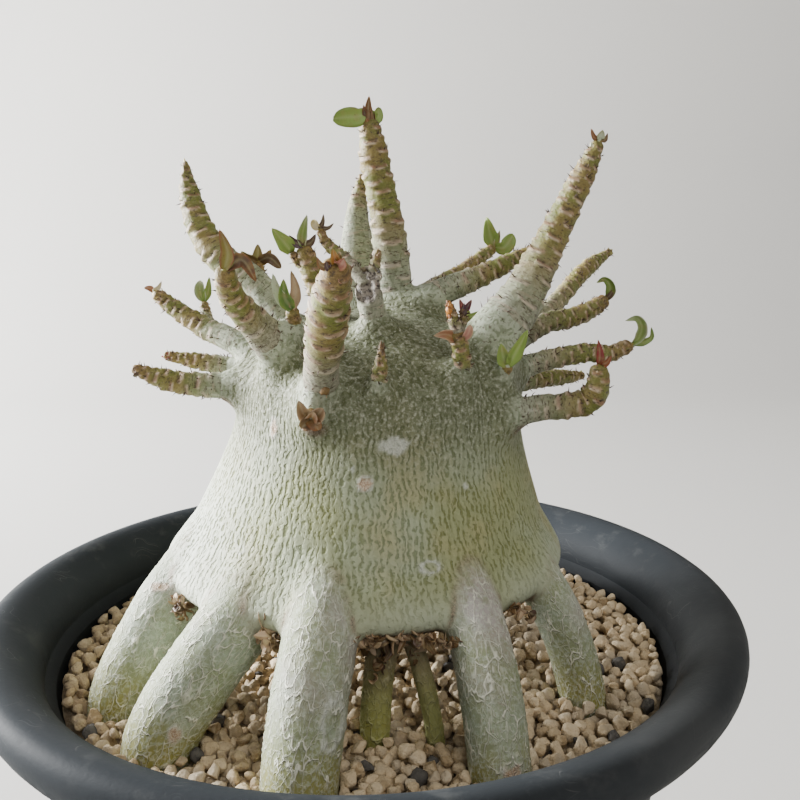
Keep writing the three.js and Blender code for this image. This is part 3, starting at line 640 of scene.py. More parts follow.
# Old wounds on the skin: centre, half width, half height, kind (pale, tan or ring)
SCARS = [
    ((8.4, -48, 204.5), 3.6, 2.3, "pale"), ((0.8, -51, 195.5), 1.7, 1.7, "tan"),
    ((-2.5, -50, 199.0), 0.7, 0.7, "pale"), ((18, -58, 175.8), 2.6, 1.5, "ring"),
    ((-23.7, -35, 206.9), 1.2, 2.6, "tan"), ((-33.7, -45, 177.2), 1.0, 0.8, "ring"),
    ((-8.4, -82, 148), 2.2, 5.0, "ring"), ((-45, -62, 139.5), 1.0, 2.0, "tan"),
    ((33.5, -78, 136), 2.0, 1.6, "tan"), ((-50, -27, 163), 2.4, 1.0, "tan"),
    ((30, -48, 193), 0.8, 0.8, "pale"), ((38, 20, 196), 2.4, 1.6, "pale"),
    ((-20, 34, 190), 2.2, 2.4, "ring"),
]

ROOT_BLEND = 3.2
STEM_BLEND = 7.0
SKIN_BOTTOM = 112.0
SKIN_LOW_XY = (-80.0, -87.0)
SKIN_HIGH = (76.0, 82.0, 246.0)
CROWN_HEIGHT = 197
FRESH_ROOTS = (5, 6)


def skin_field(cell):
    """Signed distance to trunk, roots and collars on a grid, and the grid's low corner."""
    low = np.array([*SKIN_LOW_XY, SKIN_BOTTOM - 2 * cell])
    high = np.array(SKIN_HIGH)
    axes = [np.arange(low[k], high[k], cell) for k in range(3)]
    shape = tuple(len(a) for a in axes)
    field = np.empty(shape, np.float32)
    for k, z in enumerate(axes[2]):
        xy = np.stack(np.meshgrid(axes[0], axes[1], indexing="ij"), -1).reshape(-1, 2)
        field[:, :, k] = trunk_distance(np.column_stack([xy, np.full(len(xy), z)])).reshape(shape[:2])
    for rods, k in ((root_rods(), ROOT_BLEND), (collar_rods(), STEM_BLEND)):
        for line, radii in rods:
            margin = radii.max() + k + 1
            box = []
            for axis in range(3):
                i0 = np.searchsorted(axes[axis], line[:, axis].min() - margin)
                i1 = np.searchsorted(axes[axis], line[:, axis].max() + margin)
                box.append(slice(i0, i1))
            near = [axes[axis][box[axis]] for axis in range(3)]
            part = np.stack(np.meshgrid(*near, indexing="ij"), -1)
            d = rod_distance(part.reshape(-1, 3), line, radii).reshape(part.shape[:3])
            field[tuple(box)] = blend(field[tuple(box)], d, k)
    field = np.maximum(field, (SKIN_BOTTOM - axes[2])[None, None, :].astype(np.float32))
    return field, low


def surface(field, low, cell):
    """Quads where a field on a grid changes sign, one corner for each crossed cell."""
    nx, ny, nz = (n - 1 for n in field.shape)
    corners = {}
    for i in (0, 1):
        for j in (0, 1):
            for k in (0, 1):
                corners[i, j, k] = field[i:nx + i, j:ny + j, k:nz + k]
    inside = sum((c < 0).astype(np.int8) for c in corners.values())
    active = np.nonzero((inside > 0) & (inside < 8))
    index = np.full((nx, ny, nz), -1, np.int32)
    index[active] = np.arange(len(active[0]))
    total = np.zeros((len(active[0]), 3))
    count = np.zeros(len(active[0]))
    at = {key: c[active] for key, c in corners.items()}
    for key in corners:
        for axis in range(3):
            if key[axis]:
                continue
            other = tuple(1 if n == axis else key[n] for n in range(3))
            va, vb = at[key], at[other]
            cross = (va < 0) != (vb < 0)
            t = va / np.where(cross, va - vb, 1)
            p = np.tile(np.array(key, float), (len(t), 1))
            p[:, axis] = t
            total[cross] += p[cross]
            count[cross] += 1
    points = (np.column_stack(active) + total / count[:, None]) * cell + low
    quads = []
    negative = field < 0
    for axis in range(3):
        b, c = [n for n in range(3) if n != axis]
        first = [slice(None)] * 3
        second = [slice(None)] * 3
        first[axis], second[axis] = slice(0, -1), slice(1, None)
        for n in (b, c):
            first[n] = second[n] = slice(1, -1)
        x, y = negative[tuple(first)], negative[tuple(second)]
        where = np.nonzero(x != y)
        cells = np.column_stack(where)
        cells[:, b] += 1
        cells[:, c] += 1
        ring = []
        for db, dc in ((0, 0), (-1, 0), (-1, -1), (0, -1)):
            moved = cells.copy()
            moved[:, b] += db
            moved[:, c] += dc
            ring.append(index[moved[:, 0], moved[:, 1], moved[:, 2]])
        quad = np.column_stack(ring)
        flip = x[where] if axis == 1 else ~x[where]
        quad[flip] = quad[flip][:, ::-1]
        quads.append(quad)
    return points, np.vstack(quads)


def vertex_normals(points, faces):
    """Normal at each point of a mesh of quads, weighted by their area."""
    a, b, c, d = (points[faces[:, k]] for k in range(4))
    n = np.cross(c - a, d - b)
    total = np.zeros_like(points)
    for k in range(4):
        for axis in range(3):
            total[:, axis] += np.bincount(faces[:, k], n[:, axis], len(points))
    return total / np.maximum(np.linalg.norm(total, axis=1), 1e-12)[:, None]


def make_caudex(material):
    """The skin in three pieces: roots, trunk and crown, with the fields that its material reads."""
    field, low = skin_field(SKIN_CELL)
    points, faces = surface(field, low, SKIN_CELL)
    trunk = trunk_distance(points)
    root = np.full(len(points), 1e9)
    grain = np.zeros((len(points), 3))
    fresh = np.zeros(len(points))
    for number, (line, radii) in enumerate(root_rods()):
        d = rod_distance(points, line, radii)
        near = d < root
        fresh[near] = number in FRESH_ROOTS
        root = np.minimum(root, d)
        heading, out, side = frames(line)
        away = ((points[near, None, :] - line[None]) ** 2).sum(2)
        i = away.argmin(1)
        rel = points[near] - line[i]
        along = i * ROOT_STEP + (rel * heading[i]).sum(1)
        grain[near] = np.column_stack([(rel * out[i]).sum(1), (rel * side[i]).sum(1),
                                       along * 0.5 + 50 * number])
    stem = np.full(len(points), 1e9)
    for line, radii in collar_rods():
        stem = np.minimum(stem, rod_distance(points, line, radii))
    rootness = smooth(trunk - root, -0.6, 3.2)
    # The crease where roots meet the trunk, which the material paints dark as shade.
    crease_shade = np.exp(-((trunk - root - 0.4) / 0.8) ** 2) * smooth(-(np.abs(trunk) + np.abs(root)), -5, -2)
    crease_shade *= smooth(points[:, 2], 156, 160) * (1 - 0.6 * smooth(points[:, 2], 166, 171))
    normals = vertex_normals(points, faces)
    # Downward faces of the trunk's edge, which the material paints dark as shade under the overhang.
    under = smooth(-normals[:, 2], 0.35, 0.8) * smooth(points[:, 2], 158, 161) * (1 - rootness)
    pale, tan, lift = np.zeros(len(points)), np.zeros(len(points)), np.zeros(len(points))
    ragged = noise(points * 0.9, 17) * 0.28 + noise(points * 0.35, 5) * 0.2
    for centre, wide, tall, kind in SCARS:
        away = points - centre
        flat = np.array([-centre[1], centre[0], 0.0]) / math.hypot(centre[0], centre[1])
        far = np.hypot(away @ flat / wide, away[:, 2] / tall) + ragged
        far[(away ** 2).sum(1) > 14 ** 2] = 9
        spot = 1 - smooth(far, 0.75, 1.1)
        rim = np.exp(-((far - 0.95) / 0.2) ** 2)
        pale = np.maximum(pale, spot if kind == "pale" else rim * 1.2)
        tan = np.maximum(tan, spot * (1.0 if kind == "tan" else 0.0))
        lift = np.maximum(lift, 0.30 * rim + (0.10 * spot if kind != "ring" else 0))
    points = points + normals * lift[:, None]
    fields = {
        "pale": pale, "tan": tan, "fresh": fresh,
        "root": rootness, "stem": smooth(trunk - stem, 0.5, 7.0), "crease_shade": crease_shade, "under": under,
        "grain": grain,
    }
    height = points[faces].mean(1)[:, 2]
    on_root = rootness[faces].mean(1) > 0.5
    groups = {
        "caudex_roots": on_root,
        "caudex_trunk": ~on_root & (height < CROWN_HEIGHT),
        "caudex_crown": ~on_root & (height >= CROWN_HEIGHT),
    }
    whole = make_piece("caudex_whole", points, faces, "caudex_bark", material, (), fields)
    modifier = whole.modifiers.new("relief", "NODES")
    modifier.node_group = make_relief_group()
    evaluated = whole.evaluated_get(bpy.context.evaluated_depsgraph_get())
    moved = np.empty(len(points) * 3)
    evaluated.data.vertices.foreach_get("co", moved)
    moved = moved.reshape(-1, 3) / MM
    bpy.data.objects.remove(whole)
    normals = vertex_normals(moved, faces)
    for name, chosen in groups.items():
        part = faces[chosen]
        used, local = np.unique(part, return_inverse=True)
        replaced = ("caudex",) if name == "caudex_trunk" else ()
        make_piece(name, moved[used], local.reshape(-1, 4), "caudex_bark", material, replaced,
                   {key: values[used] for key, values in fields.items()}, normals[used])


make_caudex(make_skin_material())


# Stems: where each one's leaf scars begin, as a fraction of its length, and how brown its tip is
SCARRED = {
    "mid_tall": (0.26, 0.35), "mid_pale": (0.80, 0.0), "left_tall": (0.42, 0.3), "left_front": (0.52, 0.5),
    "left_side": (0.45, 0.5), "left_low_front": (0.45, 0.6), "left_low_back": (0.5, 0.8),
    "front": (0.40, 0.7), "front_brown": (0.0, 1.0), "front_thin": (0.2, 0.9), "cut": (0.9, 0.9),
    "mid_left": (0.35, 0.5), "left_short": (0.35, 0.7), "right_inner": (0.5, 0.3),
    "right_behind": (0.4, 0.5), "right_tall": (0.32, 0.35), "right_front": (0.3, 0.9),
    "right_back": (0.5, 0.6), "right_side": (0.5, 0.8), "right_long": (0.5, 0.5), "right_low": (0.4, 0.8),
    "right_hook": (0.58, 0.6), "right_leafy": (0.6, 0.6), "back_left": (0.45, 0.4), "back_mid": (0.45, 0.4),
    "back_right": (0.45, 0.4), "back_far_right": (0.45, 0.4), "back_low": (0.45, 0.4),
}

# How brown and speckled the lower part of a stem is
WORN = {
    "left_front": 0.9, "front": 0.7, "mid_left": 0.6, "right_side": 0.8, "right_behind": 0.7, "cut": 0.3,
    "right_front": 0.8, "left_short": 0.7, "right_back": 0.5, "right_tall": 0.25, "right_hook": 0.3,
}

# Side shoots: stem they grow from, path, radii
TWIGS = [
    ("left_tall", [(-29, 14, 238), (-30, 18.5, 241), (-30.5, 20, 244.5)], [2, 1.9, 1.8]),
    ("left_side", [(-43, 4, 228), (-45, 9, 232), (-45.5, 10.5, 234)], [1.8, 1.6, 1.4]),
    ("cut", [(1.5, -22, 242), (-2.5, -18.5, 247.5), (-6, -16.5, 250.5), (-8.5, -15.5, 252.5),
             (-10, -15, 255.5)], [1.9, 1.7, 1.6, 1.5, 1.2]),
    ("cut", [(3, -21, 243), (4, -20.5, 247), (5, -20, 250.5)], [1.3, 1.5, 0.9]),
    ("mid_left", [(-13, -13, 244), (-16.3, -13.5, 247.8), (-17.6, -13.6, 249.6)], [1.4, 1.3, 1.2]),
    ("right_front", [(24.5, -35.5, 229), (23.5, -36.5, 234), (22, -36.5, 238.5)], [1.7, 1.7, 0.6]),
    ("right_front", [(24.5, -35.5, 230), (25.8, -36, 237.5)], [1.3, 1.3, 0.6]),
]

RING_STEP = 0.5
GOLDEN = math.pi * (3 - math.sqrt(5))
SCAR_REACH = 3.6
YOUNG_FROM = 0.42


def with_end(line, at, heading, across, side, radius, cut):
    """The rings of a stem and some more that close its end: rounded, or flat where it was cut."""
    cap = np.linspace(0, 1, 9 if cut else 6)[1:-1]
    close = 1 - cap if cut else np.sqrt(1 - cap ** 2)
    reach = cap * radius[-1] * (0.05 if cut else 0.7)
    shrink = np.concatenate([np.ones(len(at)), close])
    line = np.vstack([line, line[-1] + reach[:, None] * heading[-1]])
    heading = np.vstack([heading, np.repeat(heading[-1:], len(cap), 0)])
    across = np.vstack([across, np.repeat(across[-1:], len(cap), 0)])
    side = np.vstack([side, np.repeat(side[-1:], len(cap), 0)])
    at = np.concatenate([at, at[-1] + reach])
    radius = np.concatenate([radius, np.full(len(cap), radius[-1])])
    return line, at, heading, across, side, radius, shrink


def leaf_scars(at, radius, theta, scarred, total):
    """Shelves, notches, faces, rims and tones of the leaf scars up a stem, and where bristles stand.

    Each scar is a shelf with a pale face and a notch above it, and they follow a spiral."""
    lift, dip, face, rim, tone = (np.zeros((len(at), len(theta))) for _ in range(5))
    place = scarred * total
    angle = rng.uniform(0, 2 * np.pi)
    bristles = []
    while place < total - 0.3:
        f = (place - scarred * total) / max(total * (1 - scarred), 1)
        r = float(np.interp(place, at, radius))
        rows = np.nonzero(np.abs(at - place) < SCAR_REACH)[0]
        wide = (0.50 + 0.17 * rng.random()) * r + 0.35
        high = (0.55 + 0.25 * rng.random()) * min(1.0, 0.45 + 0.16 * r)
        gap = (theta - angle + np.pi) % (2 * np.pi) - np.pi
        u = gap[None, :] * r / wide
        v = (at[rows, None] - place - 0.95 * high * u ** 2) / high
        core = np.clip(1 - u ** 4, 0, 1)
        shelf = core * smooth(v, -2.4, -0.4) * (1 - smooth(v, 0.0, 1.0))
        # The notch is cut into the mesh and the stem material also paints it dark as its shadow.
        notch = core * np.exp(-((v - 1.25) / 0.45) ** 2)
        mask = smooth(1 - np.abs(u), 0, 0.3) * smooth(v, -0.75, -0.35) * (1 - smooth(v, 0.75, 1.1))
        # The lower rim line of each scar, which the stem material paints cream: its pale colour and a
        # painted highlight.
        edge = smooth(1 - np.abs(u), 0, 0.15) * np.exp(-((v + 0.40) / 0.22) ** 2)
        weight = smooth(f, -0.05, 0.25) * 0.6 + 0.4
        lift[rows] = np.maximum(lift[rows], shelf * weight)
        dip[rows] = np.maximum(dip[rows], notch * weight)
        fresh = mask > face[rows]
        face[rows] = np.where(fresh, mask, face[rows])
        tone[rows] = np.where(fresh, rng.random(), tone[rows])
        rim[rows] = np.maximum(rim[rows], edge)
        for _ in range(rng.integers(0, 4)):
            bristles.append((place + 0.2 + 0.5 * rng.random(), angle + rng.normal() * 0.5, r))
        place += (0.46 + 0.17 * r) * (1.0 - 0.30 * f) * rng.uniform(0.75, 1.25)
        angle += GOLDEN + rng.normal() * 0.12
    return lift, dip, face, rim, tone, bristles


def tube(stems, hairs, path, radii, begin, scarred, brown, worn, cut=False):
    """One stem or shoot with its leaf scars; hairs collects the dark bristles."""
    line, at = spline(path, RING_STEP)
    total = at[-1]
    first = int(np.searchsorted(at, begin))
    heading, across, side = frames(line)
    line, at, heading, across, side = (v[first:] for v in (line, at, heading, across, side))
    radius = spread(radii, at / total)
    if begin > 0:
        radius = radius - 0.7 * (1 - smooth(at, begin, begin + 6))
    count = int(np.clip(2 * np.pi * radius.max() / (RING_STEP * 1.2), 10, 84))
    theta = 2 * np.pi * np.arange(count) / count
    rings = len(at)
    line, at, heading, across, side, radius, shrink = with_end(line, at, heading, across, side, radius, cut)
    lift, dip, face, rim, tone, bristles = leaf_scars(at, radius, theta, scarred, total)

    size = radius * shrink
    relief = lift - 0.9 * dip * (1 - 0.5 * lift) - 0.2
    grow = (0.06 * radius + 0.19)[:, None] * relief * shrink[:, None]
    outward = across[:, None] * np.cos(theta)[None, :, None] + side[:, None] * np.sin(theta)[None, :, None]
    spot = line[:, None] + outward * size[:, None, None]
    rough = noise(spot.reshape(-1, 3) * 0.35, 3).reshape(lift.shape) * 0.16
    rough = rough + noise(spot.reshape(-1, 3) * 1.1, 9).reshape(lift.shape) * 0.06
    dead = np.zeros_like(lift)
    if cut:
        dead = smooth(at, total - 11, total - 6)[:, None] + np.zeros_like(lift)
        rough = rough + dead * noise(spot.reshape(-1, 3) * 0.55, 21).reshape(lift.shape) * 0.7
    points = spot + outward * ((grow + rough * shrink[:, None] ** 0.5)[:, :, None])
    if cut:
        slant = unit(heading[-1] * 0.5 + np.array([-0.25, -0.85, 0.0]))
        over = np.maximum((points - line[rings - 1] + heading[-1] * 5.0) @ slant - 0.6, 0)
        crack = noise(spot.reshape(-1, 3) * (0.45, 0.45, 0.30), 30).reshape(lift.shape)
        dead = np.maximum(smooth(over, 0.05, 0.5), dead * 0.45)
        points -= slant * (over + np.minimum(over, 1) * (0.35 - 1.3 * crack))[:, :, None]
    flat = points.reshape(-1, 3)
    end = flat[-count:].mean(0) + heading[-1] * (0.1 if not cut else -0.3)
    flat = np.vstack([flat, end, spot[0].mean(0)])

    def flatten(values, last, start):
        return np.concatenate([values.ravel(), [last, start]])

    green = max(scarred, YOUNG_FROM)
    youth = smooth(at / total, green - 0.12, min(0.97, green + 0.25))[:, None] + np.zeros_like(lift)
    tip = smooth(at, total - 4.5, total)[:, None] * brown + np.zeros_like(lift)
    grain = np.column_stack([
        np.tile(np.cos(theta) * 3, len(at)), np.tile(np.sin(theta) * 3, len(at)), np.repeat(at, count)])
    grain = np.vstack([grain, [0, 0, total], [0, 0, begin]])
    stems.add(flat, sleeve(len(at), count),
              face=flatten(face, 0, 0), rim=flatten(rim, 0, 0), tone=flatten(tone, 0, 0),
              youth=flatten(youth, 1, 0), tip=flatten(tip, brown, 0), dead=flatten(dead, float(cut), 0),
              dip=flatten(dip, 0, 0), worn=np.full(len(flat), worn), grain=grain)
    for _ in range(rng.integers(9, 18)):
        where = rng.uniform(begin + 5, max(begin + 6, total * max(scarred, 0.3)))
        bristles.append((where, rng.uniform(0, 2 * np.pi), float(np.interp(where, at, radius))))
    for where, turn, r in bristles:
        if where > total - 0.5 or where < begin + 3:
            continue
        i = min(int(np.searchsorted(at, where)), len(at) - 1)
        out = across[i] * math.cos(turn) + side[i] * math.sin(turn)
        bristle(hairs, line[i] + out * (size[i] * 0.97), out + heading[i] * rng.uniform(0.2, 1.1),
                rng.uniform(0.7, 2.0) * (0.6 + 0.1 * r), rng.uniform(0.12, 0.24))


def bristle(hairs, root, way, length, thick):
    """A stiff tapering hair with three sides."""
    way = unit(way + rng.normal(size=3) * 0.35)
    across, side = axes_across(way, (0.3, 0.5, 0.8))
    bend = rng.normal(size=3) * length * 0.18
    rings = []
    for far, width in ((0.0, 1.0), (0.5, 0.7)):
        middle = root + way * length * far + bend * far ** 2
        for a in (0, 2.094, 4.189):
            rings.append(middle + (across * math.cos(a) + side * math.sin(a)) * thick * width)
    rings.append(root + way * length + bend)
    faces = [(0, 2, 1)]
    for a in range(3):
        b = (a + 1) % 3
        faces += [(a, b, b + 3, a + 3), (a + 3, b + 3, 6)]
    hairs.add(rings, faces, tone=np.full(7, rng.random()))


def make_stem_material():
    """Grey green old bark below, olive young bark above, scars, flecks and brown tips."""
    material, g, shader = new_material("stem_bark")
    place = millimetres(g)
    grain = g.field("grain", "Vector")
    face, rim, tone, youth, tip, dead, dip = (
        g.field(n) for n in ("face", "rim", "tone", "youth", "tip", "dead", "dip"))
    patch = g.noise(place, 0.12, 3.0)
    fine = g.noise(place, 1.5, 3.0, 0.6)
    long = g.noise(g.stretch(grain, (1.0, 1.0, 0.25)), 1.1, 2.0)
    bands = g.noise(g.stretch(grain, (0.25, 0.25, 1.0)), 0.9, 3.0, 0.6)
    ridges = bark_ridges(g, place)
    old = g.mix(g.plus(g.times(ridges, 0.6), g.times(fine, 0.4)),
                (0.135, 0.155, 0.09), (0.34, 0.365, 0.27))
    old = g.mix(g.times(g.step(long, 0.52, 0.70), 0.7), old, (0.46, 0.475, 0.385))
    old = g.mix(g.times(g.step(bands, 0.54, 0.66), 0.6), old, (0.40, 0.33, 0.25))
    young = g.mix(g.step(patch, 0.4, 0.62), (0.14, 0.155, 0.03), (0.205, 0.155, 0.045))
    young = g.mix(g.step(fine, 0.5, 0.75), young, (0.27, 0.235, 0.085))
    old = g.mix(g.times(g.field("worn"), 0.75), old,
                g.mix(g.step(fine, 0.35, 0.65), (0.11, 0.09, 0.06), (0.30, 0.265, 0.20)))
    colour = g.mix(youth, old, young)
    scar_old = g.mix(tone, (0.37, 0.36, 0.285), (0.33, 0.25, 0.19))
    scar_new = g.mix(tone, (0.37, 0.26, 0.155), (0.24, 0.12, 0.065))
    scar = g.mix(youth, scar_old, scar_new)
    colour = g.mix(g.times(face, g.step(fine, 0.25, 0.5, 0.5, 0.95)), colour, scar)
    # The cream line on each scar's lower rim: the rim's own pale colour and a painted highlight.
    colour = g.mix(g.times(rim, 0.85), colour, (0.54, 0.46, 0.33))
    brown = g.mix(g.step(fine, 0.4, 0.6), (0.12, 0.06, 0.02), (0.25, 0.15, 0.05))
    colour = g.mix(g.times(tip, g.step(patch, 0.3, 0.6, 0.55, 1.0)), colour, brown)
    # Painted shadow: a dark line in the notch above each leaf scar.
    line = g.times(dip, g.step(g.noise(place, 0.7, 2.0), 0.36, 0.56))
    colour = g.mix(g.times(line, 0.85), colour, (0.07, 0.038, 0.018))
    speck = g.step(g.noise(g.stretch(grain, (0.7, 0.7, 1.9)), 1.2, 2.0, 0.6), 0.575, 0.63)
    colour = g.mix(g.times(speck, 0.75), colour, (0.06, 0.04, 0.028))
    rot = g.step(g.noise(place, 0.8, 4.0, 0.7), 0.40, 0.56)
    gone = g.mix(rot, (0.03, 0.022, 0.018), (0.27, 0.24, 0.20))
    colour = g.mix(dead, colour, gone)
    g.put(shader.inputs["Base Color"], colour)
    g.put(shader.inputs["Roughness"], g.less(0.75, g.times(youth, 0.2)))
    shader.inputs["Specular IOR Level"].default_value = 0.4
    g.put(shader.inputs["Normal"], bump(g, g.plus(fine, g.times(bands, 0.8)), 0.55, 0.4))
    return material


def make_bristle_material():
    """Very dark brown, some bristles paler than others."""
    material, g, shader = new_material("bristle")
    tone = g.field("tone")
    colour = g.mix(tone, (0.035, 0.02, 0.014), (0.12, 0.06, 0.03))
    colour = g.mix(g.step(g.noise(millimetres(g), 1.2, 2.0), 0.5, 0.65), colour, (0.06, 0.035, 0.025))
    g.put(shader.inputs["Base Color"], colour)
    shader.inputs["Roughness"].default_value = 0.7
    g.put(shader.inputs["Normal"], bump(g, g.noise(millimetres(g), 3.0, 2.0), 0.4, 0.2))
    return material


def make_stems():
    """Each stem with its shoots as a piece of its own, and all bristles as one piece."""
    material = make_stem_material()
    hairs = Batch()
    for name, (collar, path, radii) in STEMS.items():
        scarred, brown = SCARRED[name]
        worn = WORN.get(name, 0.0)
        stem = Batch()
        tube(stem, hairs, path, radii, max(collar - 5, 0.5), scarred, brown, worn, name == "cut")
        for owner, way, sizes in TWIGS:
            if owner == name:
                tube(stem, hairs, way, sizes, 0, 0.25, 0.8, 0.8)
        stem.piece("stem_" + name, "stem_bark", material, ("stem_" + name,))
    hairs.piece("bristles", "leaf_brown", make_bristle_material())


make_stems()


# Buds, scales and leaves

TINT = {
    "green": (0.17, 0.25, 0.045), "fresh": (0.22, 0.33, 0.06), "dark": (0.06, 0.13, 0.02),
    "pale": (0.42, 0.47, 0.33), "olive": (0.23, 0.21, 0.05), "yellow": (0.50, 0.40, 0.09),
    "brown": (0.17, 0.095, 0.04), "umber": (0.075, 0.042, 0.024), "rust": (0.22, 0.075, 0.022),
    "orange": (0.42, 0.17, 0.03), "tan": (0.46, 0.33, 0.21), "red": (0.20, 0.02, 0.02),
    "pink": (0.40, 0.17, 0.13), "plum": (0.055, 0.02, 0.035), "cream": (0.60, 0.52, 0.33),
}

